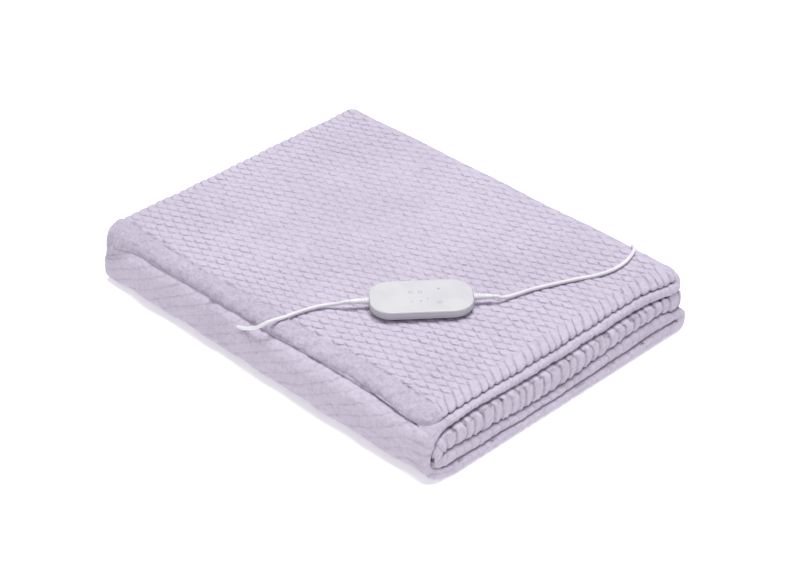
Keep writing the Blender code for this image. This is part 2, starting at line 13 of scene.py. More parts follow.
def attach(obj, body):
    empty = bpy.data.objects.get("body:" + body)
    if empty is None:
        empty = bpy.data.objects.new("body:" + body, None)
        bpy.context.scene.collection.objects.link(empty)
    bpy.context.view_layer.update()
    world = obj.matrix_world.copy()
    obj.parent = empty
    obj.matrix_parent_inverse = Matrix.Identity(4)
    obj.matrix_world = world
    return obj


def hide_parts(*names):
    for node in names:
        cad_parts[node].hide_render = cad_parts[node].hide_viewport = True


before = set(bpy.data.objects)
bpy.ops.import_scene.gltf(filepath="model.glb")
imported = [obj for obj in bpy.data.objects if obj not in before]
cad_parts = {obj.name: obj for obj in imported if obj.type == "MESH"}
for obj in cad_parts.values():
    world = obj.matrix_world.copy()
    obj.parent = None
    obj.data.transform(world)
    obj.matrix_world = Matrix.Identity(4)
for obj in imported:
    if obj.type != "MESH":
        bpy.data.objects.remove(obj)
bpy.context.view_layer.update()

CLEAR = 0.0003  # between pieces that touch

# ---- the photograph's view, the floor and the light ----
CAMERA_AT = (1.4161, -1.4034, 1.3619)
CAMERA_LOOKS_AT = (0.0277, -0.0213, 0.034)
CAMERA_LENS, CAMERA_SENSOR = 102.14, 36  # millimetres
CAMERA_SEES_TO = 20
FLOOR_HALF, FLOOR_HEIGHT = 15, -0.0004
FLOOR_GLOW, SKY_LIGHT = 0.34, 0.4
SUN_FROM, SUN_LIGHT, SUN_SPREAD = (-0.05, 0.1, 1.0), 2.82, 30

# ---- the stack ----
# A table of waves has rows of: height, length along X, length across, shift.
STACK_HEIGHT = 0.068
LAYER_ENDS = (
    # near end and far end along X, from the top layer down
    (0.239, -0.252), (0.2445, -0.2495), (0.252, -0.2515), (0.2545, -0.254), (0.2575, -0.2575),
)
STACK_END = LAYER_ENDS[-1][0]
END_ROLL = 0.005  # how far each layer's rolled end is rounded along X
ROLL_ROUNDNESS = 2.5  # 2 is an ellipse, and more is squarer
END_WOBBLE, END_WOBBLE_LENGTH = 0.0009, 0.11
LAYER_SHIFT = 0.37  # of such waves, from one layer to the next
PLY_BACK = 0.011  # the plies inside a near roll end this far short of it
CREASE_FILL = 0.66  # the plush fills the creases between the rolls, more and less
CREASE_FILL_WAVE = (0.0118, 0.5, 0.0071)  # length, how far that wanders and over what
CORNER_ROUND, CORNER_SHARE = 0.015, 0.5  # 1 would make the layers' corners quarter circles
TOP_CORNER_OUT = 0.007  # the top fold reaches this much further along X at its near corner
TOP_CORNER_FROM, TOP_CORNER_OVER = 0.12, 0.055
TOP_ROLL = 0.0185  # the top layer starts to roll over this far from its near end
TOP_ROLL_ROUNDNESS = 1.9
TOP_ROLL_DROOP = 1.5  # over 1 puts its widest part under the middle of its height

# How far each fold or edge reaches from the middle along Y, and where the layers start to turn.
BIG_FOLD_OUT, BOTTOM_FOLD_OUT, TOP_FOLD_OUT = 0.194, 0.1945, 0.1925
MIDDLE_EDGE_OUT, MIDDLE_EDGE_TURN = 0.191, 0.009
RIGHT_TURN, LEFT_TURN = 0.178, 0.162
EDGE_SHARE = 0.08  # how much of its layer's steps a round edge takes
EDGE_BLUNT = 0.03  # how much of its quarter turn is left out at its outermost line
EDGE_END_ROLL = 0.2  # how much of its rolled end the cloth keeps out at a round edge
EDGE_WOBBLE = ((0.0012, 0.16, math.inf, 0.2),)
FOLD_ROUNDNESS = 2.8
SHOULDER_ROUNDNESS = 4.0  # of the big fold, under the hem
BIG_FOLD_WIDEST = 0.02  # the height at which the big fold reaches furthest
BIG_FOLD_SPLAY = 0.0042  # the big fold reaches this much further at its near end
FAR_SAG, FAR_SAG_FROM, FAR_SAG_OVER = 0.008, -0.19, 0.055  # and it is lower at its far end
FAR_TUCK = 0.003  # and reaches this much less far out there
BIG_FOLD_WALL = 0.0095
NEST_GAP = 0.0004  # between the big fold and the fold inside it
NEST_CREASE = 0.013  # how far the crease between two layers runs on into the fold inside

# Heights of the gaps between the layers at the stack's two ends, in millimetres: a row for each
# gap, from the top one down, with its heights at these places across the stack.
GAPS_ACROSS = (-178, -150, -110, -50, 0, 50, 105, 150, 178)
NEAR_GAPS = (
    (57.5, 56.5, 57, 55, 55, 56, 57.5, 58, 57),
    (42, 46.5, 47.5, 45, 45, 46, 47, 47.5, 46),
    (29, 26, 22.5, 17.5, 17.5, 23, 28.5, 30, 24),
    (12.5, 10.5, 10, 9, 9.5, 11, 12.5, 14.5, 12),
)
FAR_GAPS = (
    (57, 56, 54.5, 55.5, 54.5, 54, 55.5, 56, 55.5),
    (41, 41, 41.5, 43, 42, 41, 42.5, 43.5, 43.5),
    (26, 27.5, 28, 29.5, 28.5, 27, 28.5, 29.5, 27),
    (11.5, 12.5, 14, 15, 13.5, 12.5, 13.5, 14.5, 13.5),
)
GAP_UNDER_SECOND = 1
GAP_WAVES = (
    (0.0006, 0.19, 0.5, 0.1),
    (0.0008, 0.23, 0.5, 0.45),
    (0.001, 0.17, 0.5, 0.8),
    (0.0007, 0.21, 0.5, 0.25),
)
TOP_WAVES = ((0.0004, 0.23, 0.31, 0.0), (0.0003, 0.14, -0.19, 0.3))
LAYER_GAP = 0.0002
OPEN_GAP = 0.0005  # the gap under the second layer, which gapes at the near end
OPENS_FROM, OPENS_OVER = -0.05, 0.3
FAR_CORNER_DROOPS = (0.019, 0.011, 0.006, 0.0015)  # of each gap, where the hem hangs over
FAR_CORNER_X, FAR_CORNER_X_OVER = 0.218, 0.034
FAR_CORNER_Y, FAR_CORNER_Y_OVER = 0.135, 0.04

# ---- the hem ----
# In millimetres: places along X, and where its seam and its tip are across the stack there.
HEM_ALONG = (-260, -238, -200, -150, -106, -70, 0, 60, 105, 150, 200, 240)
HEM_SEAMS = (-160, -160, -162, -164, -167.5, -164.5, -162, -162, -159.5, -158, -160, -161.5)
HEM_TIPS = (-190, -187.5, -184.5, -184, -184.5, -184, -184, -183.5, -182.5, -180, -181, -186)
HEM_SINK, HEM_SINK_AT_SPOTS = 0.0048, 0.003  # its plush sinks into the fold under it
HEM_SINK_OVER = 0.01
HEM_CROWN, HEM_CROWN_WIDTH = 0.0014, 0.005
HEM_CROWN_PAST = 0.006  # how far outside the seam the hem stands highest
HEM_NOSE_PAST = 0.004  # how far outside the seam its round nose starts
HEM_WIDEST = 0.32  # how high its widest part is, as a share of the layer
HEM_ROUNDNESS = 2.2
HEM_UNDER_ROUNDNESS = 6.0  # of its lower half, which is pressed flat
HEM_CORNER, HEM_CORNER_FROM, HEM_CORNER_TO = 0.0055, 0.17, 0.19  # its near corner is cut back
HEM_SEAM_DEPTH, HEM_SEAM_WIDTH = 0.0014, 0.0028
HEM_STITCH_DEPTH, HEM_STITCH_WIDTH = 0.0012, 0.0011  # the sewn line at the bottom of the seam
# SEAM_SHADE is painted shade along the groove of the hem's seam.
SEAM_SHADE, SEAM_UNEVEN = 1.1, (0.021, 0.7, 0.017)  # length, how far it wanders and over what
HEM_SHADE, HEM_SHADE_OVER = 0.3, 0.004  # painted shade that darkens the hem past its seam
HEM_LUMPS = (
    # height, length along X, how far that wanders and over what, length across
    (0.0007, 0.0125, 0.6, 0.019, 0.03),
    (0.0006, 0.021, 0.5, 0.033, -0.018),
)
HEM_SWELL = ((0.0004, 0.073, math.inf, 0.2),)
SIDE_WAVES = ((0.0009, 0.085, 0.09, 0.0), (0.0005, 0.047, -0.05, 0.3))  # of the big fold's side

# ---- the cloth ----
# Each layer is the cloth folded in three across its width: two plies meet in the near roll,
# and the third lies between them. These are the plies' faces as shares of the layer, from -1,
# its inner face, to 1, its outer face.
PLY_EDGE, MIDDLE_PLY_EDGE = 0.36, 0.32

LATTICE_LONG, LATTICE_SHORT = 0.024, 0.011  # the woven lattice's diamonds, along X and across
LATTICE_SHAPE = 0.35  # under 1 makes the diamonds puffy, with narrow grooves
LATTICE_CURVE = 0.05  # how far the grooves bend to and fro, as a share of their spacing
LATTICE_LEAN = 0.75  # under 1 moves the diamonds' crowns to one side
LATTICE_DEPTH, RIB_DEPTH = 0.002, 0.0026
# The darkness of the grooves and ribs below is painted shade in them.
DASH_AT, HOOK_AT = 0.42, 0.2  # where each family is darkest, between two of the other's grooves
DASH_DARK, HOOK_DARK = (0.48, 1.0), (0.25, 0.85)  # how dark they are away from there and there
HOOK_DARK_FAR = 0.1  # away from there at the far end of the top
RIB_DARK, THIRD_RIB_DARK, SIDE_DARK = 0.75, (1.1, 0.2), 0.7
LATTICE_WANDER = ((0.1, 0.31, 15.5, 0.0), (0.06, 0.12, -21, 0.3))  # across is in grooves
NEAR_RIDGE, FAR_RIDGE = 0.2205, -0.24  # past these one family runs on over the roll, as ribs
RIDGE_CREST, RIDGE_WIDTH, RIDGE_BLEND = 0.0011, 0.0034, 0.006
RIB_PITCH, SECOND_RIB_PITCH = 0.0115, 0.0066  # on the lower layers' rolls, and on the second's
RIB_LEAN = 0.0035  # the ribs bow by this much on their way over a roll
RIB_WANDER = ((0.14, 7.4, 1 / 0.31, 0.0), (0.1, 2.9, 1 / 0.17, 0.0))  # in ribs and in layers
LAYER_RIBS = (1.0, 0.35, 1.0, 0.5, 0.25)  # how strongly they show, from the top layer down
BIG_FOLD_LINES, SIDE_LINE_PITCH = 0.55, 0.0128  # and on the big fold's side
FOLD_FADE, HEM_FADE = 0.3, 0.9  # how much weaker they are in the folds and on the hem
HEM_FADE_FROM, HEM_FADE_OVER = 0.0006, 0.003
PALE_AT, PALE_SIZE, PALE_SHARE = (-0.06, 0.05), 0.16, 0.35  # where the top's lattice is weaker

# Creases that no lattice makes, listed one by one, in millimetres.
HEM_CREASE_AT = (-183, 57.0)  # y and z of the line where the hem lies on the fold under it
HEM_CREASE_FADE = 2  # past the ends of each spot
HEM_CREASE_SPOTS = (
    # from and to along X, where that line is open and gets painted shade
    (-226, -214), (-203, -190), (-176, -158), (-150, -144), (-124, -119), (-104, -99),
    (-92, -87), (-82, -77), (-63, -57), (-37, -30), (-18, -8), (12, 17), (24, 29), (35, 40),
    (49, 61), (75, 85), (103, 113), (118, 122), (133, 138), (146, 159), (171, 181),
    (198, 202), (207, 213), (221, 228),
)
HEM_PLEATS = (37, 59, 81, 105, 148, 174, 197)  # x of pleats that run down from that line
HEM_PLEAT_RUN = (15, -16, -7)  # how far they run along X, Y and Z
NEAR_CREASE_X = 242.5
NEAR_CREASE_SPOTS = (
    # y, how long: spots pressed in, with painted shade, between the second layer and the middle one
    (-169, 3), (-160, 4), (-151, 3), (-141, 5), (-131, 4), (-122, 7), (-112, 5), (-97, 5),
    (-88, 6), (-50, 4), (-40, 5), (-25, 4), (-8, 3), (14, 4), (36, 3), (57, 5), (89, 4), (120, 6),
)
CORNER_PLEATS = (
    # x, y, z of one end and the other: by the big fold's near edge
    (243, -186, 60, 251, -195, 50),
    (236, -188, 58, 247, -198, 46),
    (222, -188, 56, 236, -198, 42),
    (250, -190, 52, 253, -196, 38),
    (252, -188, 36, 255, -194, 22),
)
# How wide and how deep each kind of crease is, and how dark its painted shade is.
HEM_CREASE, HEM_PLEAT = (0.0018, 0.0008, 0.75), (0.0022, 0.001, 0.22)
NEAR_CREASE, CORNER_PLEAT = (0.0024, 0.0016, 1.0), (0.0025, 0.0012, 0.25)

FLEECE_LIGHT = (0.66, 0.6, 0.73, 1.0)
FLEECE_SHADED = (0.61, 0.55, 0.68, 1.0)
FLEECE_TIPS = (0.74, 0.68, 0.81, 1.0)
# painted shade: the colour towards which grooves, creases, the hem and dents are darkened
FLEECE_PAINTED_SHADE = (0.22, 0.18, 0.27, 1.0)

# ---- the hand control ----
CONTROL_AT, CONTROL_TURN = (0.0984, -0.0509), math.radians(49.0)
CONTROL_LENGTH, CONTROL_WIDTH, CONTROL_CORNER = 0.107, 0.0585, 0.0225
CONTROL_SEAT, PARTING_HEIGHT, CONTROL_TOP = 0.0672, 0.073, 0.0795
COVER_EDGE = 0.0018
BASE_TUCK, BASE_CURVE = 0.0055, 1.9  # the lower shell is smaller at its underside
PRESSED_MARGIN = 0.02  # the cloth is pressed flat this far past the control's edge
PRESSED_BLEND = 0.03  # and rises to its free height over this width

RELIEF_HEIGHT, RELIEF_LENGTH = 0.0752, 0.02
RELIEF_THICK, RELIEF_THIN = 0.0078, 0.005
RELIEF_RIBS, RELIEF_RIBBED = 4, 0.62  # how many, and on what share of its length
RELIEF_GROOVE, RELIEF_EDGE = 0.0007, 0.0004
RELIEF_GROOVE_WIDTH = 0.16  # as a share of the space between two grooves
RELIEF_STEPS = 64

# Printed marks on the cover, in millimetres from its middle: along it and across it.
MARK_RINGS = ((-10.8, 6.9), (-0.6, 6.8), (18.1, -13.1))
MARK_RING_DIAMETER, MARK_LINE = 4.6, 0.7
MARK_DOTS = (
    # along, across, diameter
    (-10.4, -9.9, 1.5), (-1.0, -9.4, 2.2), (4.9, -11.8, 1.3), (18.6, 11.9, 2.8),
)
MARK_BAR, MARK_BAR_LENGTH = (6.3, -5.6), 3.2
MARK_HEIGHT = 0.00004

# ---- the leads ----
CORD_DIAMETER, CORD_SPACING, CORD_STRAIGHT = 0.004, 0.0022, 0.004
CURVE_STEPS = 12
# The routes' points are in millimetres.
BLANKET_LEAD_ROUTE = (
    # out of the control's far relief, over the hem, and into the big fold
    (44.2, -112.6, 73.7), (37.5, -118, 71.6), (31.8, -125.5, 70.9), (27.5, -135, 70.9),
    (24.3, -145, 70.9), (21.5, -156, 70.9), (18.8, -168, 70.8), (16, -179, 71.3),
    (13.5, -187, 70.8), (10.3, -191.5, 68.2), (4, -193.2, 63.2), (-5, -193.2, 57.8),
    (-14.8, -192.5, 52.4), (-23.3, -191.5, 48.8), (-29.6, -190.3, 46.4),
)
MAINS_ROUTE = (
    # out of the near relief, over the top fold, down behind it and along the floor
    (152.1, 10.5, 73.5), (154.8, 20, 71.4), (158, 33, 70.8), (162.2, 48, 70.8),
    (168.8, 64, 70.9), (175.7, 80, 71), (183.5, 97, 71), (192, 114, 71),
    (197.2, 132, 71), (197.8, 150, 71), (194.4, 166.5, 71), (188.5, 180, 70.8),
    (182.2, 186.8, 69.8), (176.6, 193, 65.5), (172.8, 196.2, 58), (169.3, 196.8, 48),
    (164, 196.8, 36.5), (156, 197.2, 24), (144, 198.2, 11.5), (129, 198.8, 4.2),
    (110, 198.6, 2.2), (70, 197.8, 2.2), (20, 196.8, 2.2), (-40, 197.8, 2.2),
    (-100, 196.8, 2.2), (-160, 197.6, 2.2), (-210, 197.6, 2.4), (-240, 195.6, 3.2),
    (-260, 191.2, 4),
)
TAIL_ROUTE = ((-260, 242.5, 8), (-251, 239, 7.4), (-243, 232, 7))

COIL_AT, COIL_FLOOR = (-0.279, 0.2165), 0.0012
COIL_MIDDLE_DIAMETER, COIL_WIDTH, COIL_THICKNESS = 0.042, 0.0124, 0.0116
COIL_ROUNDNESS = 2.6
COIL_IN_ANGLE, COIL_OUT_ANGLE = math.radians(285), math.radians(75)
COIL_IN_DROP, COIL_OUT_RISE = -0.002, 0.001
COIL_FULL_TURNS = 7  # besides the part of a turn from where it comes in to where it leaves
COIL_POINTS = 24  # to a turn
COIL_SHIFT_ANGLE = math.radians(20)  # where each turn moves over into the next one's place
COIL_SHIFT_OVER, COIL_LEAD_OVER = math.radians(70), math.radians(60)
COIL_PLACES = (
    # out, up: the turns' places in the wound lead, in the order that it takes them
    (1, -1), (0, -1), (-1, -1), (-1, 0), (-1, 1), (0, 1), (0, 0), (1, 0),
)
TIE_ANGLE, TIE_WIDTH, TIE_THICKNESS = math.radians(200), 0.006, 0.0008

# ---- the plug ----
PLUG_AT, PLUG_TURN, PLUG_AXIS_HEIGHT = (-0.235, 0.2265), math.radians(-12), 0.0069
# Along it, in millimetres, with its width and its thickness there.
PLUG_ALONG = (0, 10, 20, 22, 30, 40, 55, 56.5)
PLUG_WIDTHS = (5.2, 6.4, 8.2, 13, 20, 26.2, 26.2, 24.6)
PLUG_THICKNESSES = (5.2, 6.2, 7.6, 11, 13.4, 13.8, 13.8, 12.4)
PLUG_ROUNDNESS, PLUG_STEPS, PLUG_SIDES = 3.2, 90, 40
PLUG_GROOVE_WIDTH = 0.2  # as a share of the space between two grooves
PLUG_GROOVES = (
    # from, to, spacing, depth, in millimetres: on the strain relief and on the grip
    (3, 18, 3.0, 0.4),
    (34, 52, 4.5, 0.6),
)
PIN_DIAMETER, PIN_LENGTH, PIN_SPACING = 0.004, 0.019, 0.0186
PIN_TIP, PIN_TIP_ROUND = 0.0015, 0.001


# ---- small helpers ----


def ease(t):
    t = np.clip(t, 0.0, 1.0)
    return t * t * (3 - 2 * t)


def mix(a, b, t):
    return a + (b - a) * t


def bell(distance, width):
    return np.exp(-((distance / width) ** 2))


def wave(turns):
    return np.sin(2 * math.pi * turns)


def waves(table, a, b):
    """The sum of a table's waves, at a along X and b across."""
    return sum(
        height * wave(a / along + b / across + shift) for height, along, across, shift in table
    )


def wandering(at, length, wander, over):
    """How many lengths lie behind a place, where they are longer and shorter in turn."""
    return at / length + wander * np.sin(at / over)


def rounded(angle, roundness):
    """A point of a unit circle that is squarer where roundness is over 2."""
    c, s = np.cos(angle), np.sin(angle)
    power = 2 / roundness
    return np.sign(c) * abs(c) ** power, np.sign(s) * abs(s) ** power


def quarter(steps):
    """The cosine and the sine of angles from 0 to a quarter turn."""
    angles = [math.pi / 2 * k / steps for k in range(steps + 1)]
    return [(math.cos(angle), math.sin(angle)) for angle in angles]


SQUARE = ((-1, -1), (1, -1), (1, 1), (-1, 1))


def all_round(sides):
    return [2 * math.pi * k / sides for k in range(sides)]


def metres(*millimetres):
    return tuple(value / 1000 for value in millimetres)


def route_in_metres(points):
    return [metres(*point) for point in points]


def turned_place(at, height, turned_by):
    return Matrix.Translation((*at, height)) @ Matrix.Rotation(turned_by, 4, "Z")


def add_object(name, data):
    o = bpy.data.objects.new(name, data)
    bpy.context.scene.collection.objects.link(o)
    return o


def place(name, data, mat, slot_name, smooth_angle=None):
    """A new piece that rides on the object, with its material."""
    o = add_object(name, data)
    data.materials.append(mat)
    if smooth_angle is not None:
        data.shade_smooth()
        data.set_sharp_from_angle(angle=math.radians(smooth_angle))
    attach(o, "root")
    return o


def mesh_of(name, bm):
    mesh = bpy.data.meshes.new(name)
    bm.to_mesh(mesh)
    bm.free()
    return mesh


def join(bm, loop, following):
    """A band of faces from one loop of points to the next."""
    for i in range(len(loop)):
        j = (i + 1) % len(loop)
        bm.faces.new((loop[i], loop[j], following[j], following[i]))


def ring_mesh(name, rings, joined=False):
    """A closed solid through rings of the same number of points. Its ends are filled with one
    face each, or joined to each other."""
    bm = bmesh.new()
    loops = [[bm.verts.new(p) for p in ring] for ring in rings]
    followers = loops[1:] + loops[:1] if joined else loops[1:]
    for loop, following in zip(loops, followers):
        join(bm, loop, following)
    if not joined:
        bm.faces.new(loops[0])
        bm.faces.new(loops[-1])
    bmesh.ops.recalc_face_normals(bm, faces=bm.faces)
    return mesh_of(name, bm)


def turned_rings(at, y, z, profile):
    """Rings round a line along a place's X, for each (along, radius) of a profile."""
    return [
        [at @ Vector((along, y + r * math.cos(a), z + r * math.sin(a))) for a in all_round(28)]
        for along, r in profile
    ]


# ---- materials ----


class Material:
    """A node material, built up by small calls."""

    def __init__(self, name, roughness, **fixed):
        self.made = bpy.data.materials.new(name)
        self.made.use_nodes = True
        self.tree = self.made.node_tree
        self.shader = self.tree.nodes["Principled BSDF"]
        self.shader.inputs["Roughness"].default_value = roughness
        for key, value in fixed.items():
            self.shader.inputs[key.replace("_", " ")].default_value = value

    def node(self, kind, settings, inputs):
        n = self.tree.nodes.new(kind)
        for key, value in settings.items():
            setattr(n, key, value)
        for key, value in inputs.items():
            if isinstance(value, bpy.types.NodeSocket):
                self.tree.links.new(value, n.inputs[key])
            else:
                n.inputs[key].default_value = value
        return n

    def maths(self, operation, *values):
        inputs = dict(enumerate(values))
        return self.node("ShaderNodeMath", {"operation": operation}, inputs).outputs[0]

    def blend(self, share, a, b):
        """A colour between a and b."""
        inputs = {0: share, 6: a, 7: b}
        return self.node("ShaderNodeMix", {"data_type": "RGBA"}, inputs).outputs[2]

    def span(self, value, low, high, to_low=0.0, to_high=1.0):
        """value, mapped smoothly from the span low to high."""
        inputs = {0: value, 1: low, 2: high, 3: to_low, 4: to_high}
        settings = {"interpolation_type": "SMOOTHSTEP"}
        return self.node("ShaderNodeMapRange", settings, inputs).outputs[0]

    def place(self):
        return self.node("ShaderNodeTexCoord", {}, {}).outputs["Object"]

    def stored(self, name):
        return self.node("ShaderNodeAttribute", {"attribute_name": name}, {}).outputs

    def noise(self, at, scale, detail=2.0, roughness=0.5):
        inputs = {"Vector": at, "Scale": scale, "Detail": detail, "Roughness": roughness}
        return self.node("ShaderNodeTexNoise", {}, inputs).outputs[0]

    def set(self, name, socket):
        self.tree.links.new(socket, self.shader.inputs[name])

    def bump(self, height, distance):
        inputs = {"Strength": 1.0, "Distance": distance, "Height": height}
        self.set("Normal", self.node("ShaderNodeBump", {}, inputs).outputs[0])


def fleece_material():
    """Plush cloth. The mesh's attribute "lattice" holds where a point is between the grooves
    of either family, and how much painted shade each family's grooves get there, and "crease" the
    painted shade of other creases, of the hem and of its seam. The colour is darkened towards
    FLEECE_PAINTED_SHADE by that painted shade and by painted shade in the plush's small dents."""
    m = Material(
        "fleece", 0.92, Sheen_Weight=0.30, Sheen_Roughness=0.45,
        Sheen_Tint=(0.93, 0.88, 1.0, 1.0), Specular_IOR_Level=0.12,
    )
    lattice = m.stored("lattice")
    flat_groove_shade = lattice["Alpha"]
    in_steep, in_flat, steep_groove_shade = m.node(
        "ShaderNodeSeparateColor", {}, {0: lattice["Color"]}
    ).outputs
    at = m.place()
    uneven = m.noise(at, 95.0)
    width = m.maths("MULTIPLY_ADD", uneven, 0.14, 0.28)
    grooves = []
    for value in (in_steep, in_flat):
        share = m.maths("FRACT", value)
        from_middle = m.maths("ABSOLUTE", m.maths("SUBTRACT", share, 0.5))
        grooves.append(m.span(from_middle, width, 0.5))
    # painted shade in the grooves, strongest where they cross
    pits = m.maths("MULTIPLY", grooves[0], grooves[1])
    flat = m.maths("MULTIPLY", grooves[1], flat_groove_shade)
    painted_shade = m.maths("MAXIMUM", m.maths("MULTIPLY", grooves[0], steep_groove_shade), flat)
    painted_shade = m.maths("MULTIPLY_ADD", m.maths("MULTIPLY", pits, flat_groove_shade), 0.5, painted_shade)
    painted_shade = m.maths("MULTIPLY", painted_shade, m.span(uneven, 0.3, 0.7, 0.35, 1.0))
    ragged = m.span(m.noise(at, 330.0), 0.3, 0.6, 0.4, 1.1)
    painted_shade = m.maths("MAXIMUM", painted_shade, m.maths("MULTIPLY", m.stored("crease")["Fac"], ragged))
    patches = m.span(m.noise(at, 11.0, 3.0), 0.35, 0.65)
    pile = m.noise(at, 900.0, 3.0, 0.65)
    light = m.blend(patches, FLEECE_SHADED, FLEECE_LIGHT)
    tips = m.blend(m.span(pile, 0.3, 0.75, 0.0, 0.5), light, FLEECE_TIPS)
    soft = m.noise(at, 230.0, 3.0, 0.6)
    # painted shade in the plush's small dents
    painted_dent_shade = m.span(soft, 0.30, 0.58, 0.16, 0.0)
    m.set("Base Color", m.blend(m.maths("MULTIPLY_ADD", painted_shade, 0.62, painted_dent_shade), tips, FLEECE_PAINTED_SHADE))
    height = m.maths("MULTIPLY_ADD", soft, 1.6, m.maths("MULTIPLY", pile, 0.7))
    height = m.maths("MULTIPLY_ADD", uneven, 1.6, height)
    m.bump(m.maths("MULTIPLY_ADD", painted_shade, -0.6, height), 0.0013)
    return m.made


def moulded_material(name, colour, shade, roughness, grain):
    """Moulded plastic: a fine even grain, and a little unevenness in its colour and gloss."""
    m = Material(name, roughness, Specular_IOR_Level=0.45)
    at = m.place()
    cloud = m.noise(at, 38.0)
    m.set("Base Color", m.blend(m.span(cloud, 0.3, 0.7), (*shade, 1.0), (*colour, 1.0)))
    gloss = m.span(m.noise(at, 160.0, 3.0), 0.3, 0.7, roughness - 0.06, roughness + 0.08)
    m.set("Roughness", gloss)
    m.bump(m.noise(at, grain), 0.00006)
    return m.made


def ink_material():
    m = Material("mark_ink", 0.5, Specular_IOR_Level=0.3)
    worn = m.span(m.noise(m.place(), 1400.0), 0.35, 0.75)
    m.set("Base Color", m.blend(worn, (0.36, 0.32, 0.44, 1.0), (0.52, 0.48, 0.60, 1.0)))
    return m.made


def brass_material():
    m = Material("pin_metal", 0.25, Metallic=1.0)
    at = m.place()
    cloud = m.noise(at, 300.0)
    m.set("Base Color", m.blend(cloud, (0.72, 0.62, 0.42, 1.0), (0.80, 0.72, 0.52, 1.0)))
    m.set("Roughness", m.span(m.noise(at, 900.0, 3.0), 0.3, 0.7, 0.18, 0.38))
    return m.made


def floor_material():
    m = Material(
        "floor", 0.8, Specular_IOR_Level=0.1,
        Emission_Color=(1.0, 1.0, 1.0, 1.0), Emission_Strength=FLOOR_GLOW,
    )
    cloud = m.noise(m.place(), 3.0)
    m.set("Base Color", m.blend(cloud, (0.90, 0.90, 0.90, 1.0), (0.93, 0.93, 0.93, 1.0)))
    return m.made


# ---- the folded cloth's form ----


def eased(places, values, at):
    """A table's value at a place, eased from one entry to the next. The table is in
    millimetres, and the answer in metres."""
    places, values = np.array(places) / 1000, np.array(values) / 1000
    k = np.clip(np.searchsorted(places, at) - 1, 0, len(places) - 2)
    share = (at - places[k]) / (places[k + 1] - places[k])
    return mix(values[k], values[k + 1], ease(share))


def gap_height(gap, x, y):
    """The height of the middle of a gap. Gaps have the number of the layer over them."""
    share = ease((x + STACK_END) / (2 * STACK_END))
    far, near = (eased(GAPS_ACROSS, table[gap], y) for table in (FAR_GAPS, NEAR_GAPS))
    by_corner = ease((-FAR_CORNER_X - x) / FAR_CORNER_X_OVER)
    by_corner = by_corner * ease((-FAR_CORNER_Y - y) / FAR_CORNER_Y_OVER)
    droop = FAR_CORNER_DROOPS[gap] * by_corner
    return mix(far, near, share) + waves((GAP_WAVES[gap],), x, y) - droop


def gap_half(gap, x):
    if gap != GAP_UNDER_SECOND:
        return LAYER_GAP / 2
    return mix(LAYER_GAP, OPEN_GAP, ease((x - OPENS_FROM) / OPENS_OVER)) / 2


def past_control(x, y):
    """How far outside the hand control's outline a point is in plan."""
    dx, dy = x - CONTROL_AT[0], y - CONTROL_AT[1]
    along = dx * math.cos(CONTROL_TURN) + dy * math.sin(CONTROL_TURN)
    across = dy * math.cos(CONTROL_TURN) - dx * math.sin(CONTROL_TURN)
    beyond = np.maximum(abs(along) - (CONTROL_LENGTH - CONTROL_WIDTH) / 2, 0)
    return np.hypot(beyond, across) - CONTROL_WIDTH / 2


def hem_seam(x):
    return eased(HEM_ALONG, HEM_SEAMS, x)


def hem_nose(x):
    return hem_seam(x) - HEM_NOSE_PAST


def hem_tip(x):
    return eased(HEM_ALONG, HEM_TIPS, x)


def top_height(x, y):
    """The upper face of the top layer."""
    free = ease((past_control(x, y) - PRESSED_MARGIN) / PRESSED_BLEND)
    pressed = CONTROL_SEAT - CLEAR - STACK_HEIGHT
    past_seam = y - hem_seam(x)
    seam = HEM_SEAM_DEPTH * bell(past_seam, HEM_SEAM_WIDTH)
    seam = seam + HEM_STITCH_DEPTH * bell(past_seam, HEM_STITCH_WIDTH)
    crown = HEM_CROWN * bell(past_seam + HEM_CROWN_PAST, HEM_CROWN_WIDTH)
    ridge = RIDGE_CREST * bell(x - NEAR_RIDGE, RIDGE_WIDTH)
    return STACK_HEIGHT + mix(pressed, waves(TOP_WAVES, x, y), free) - seam + crown + ridge


def upper(layer, x, y):
    """A layer's upper face."""
    if layer == 0:
        return top_height(x, y)
    return gap_height(layer - 1, x, y) - gap_half(layer - 1, x)


def lower(layer, x, y):
    if layer == len(LAYER_ENDS) - 1:
        return 0.0 * x
    return gap_height(layer, x, y) + gap_half(layer, x)


def wobble_at(x):
    return waves(EDGE_WOBBLE, x, 0)


def flat_part(layer, start, end, outer_is_up):
    """The cloth's two faces along one layer. start and end are where it is across the stack."""

    def faces(t, x):
        y = mix(start, end, t)
        top, bottom = upper(layer, x, y), lower(layer, x, y)
        outer, inner = (top, bottom) if outer_is_up else (bottom, top)
        return y, outer, y, inner, layer + 0 * y

    return faces


def round_edge(from_edge):
    """How far out and how thick the cloth is by its round edge, as shares. from_edge is how far
    along its layer's steps it is from there."""
    angle = math.pi / 2 * np.clip(from_edge / EDGE_SHARE, EDGE_BLUNT, 1)
    return rounded(angle, HEM_ROUNDNESS)


def crease_open(x):
    """How open the crease under the hem is: 1 at its spots of painted shade."""
    spots = [((start + end) / 2, (end - start) / 2) for start, end in HEM_CREASE_SPOTS]
    found = (bell(1000 * x - middle, half + HEM_CREASE_FADE) for middle, half in spots)
    return np.clip(sum(found), 0, 1)


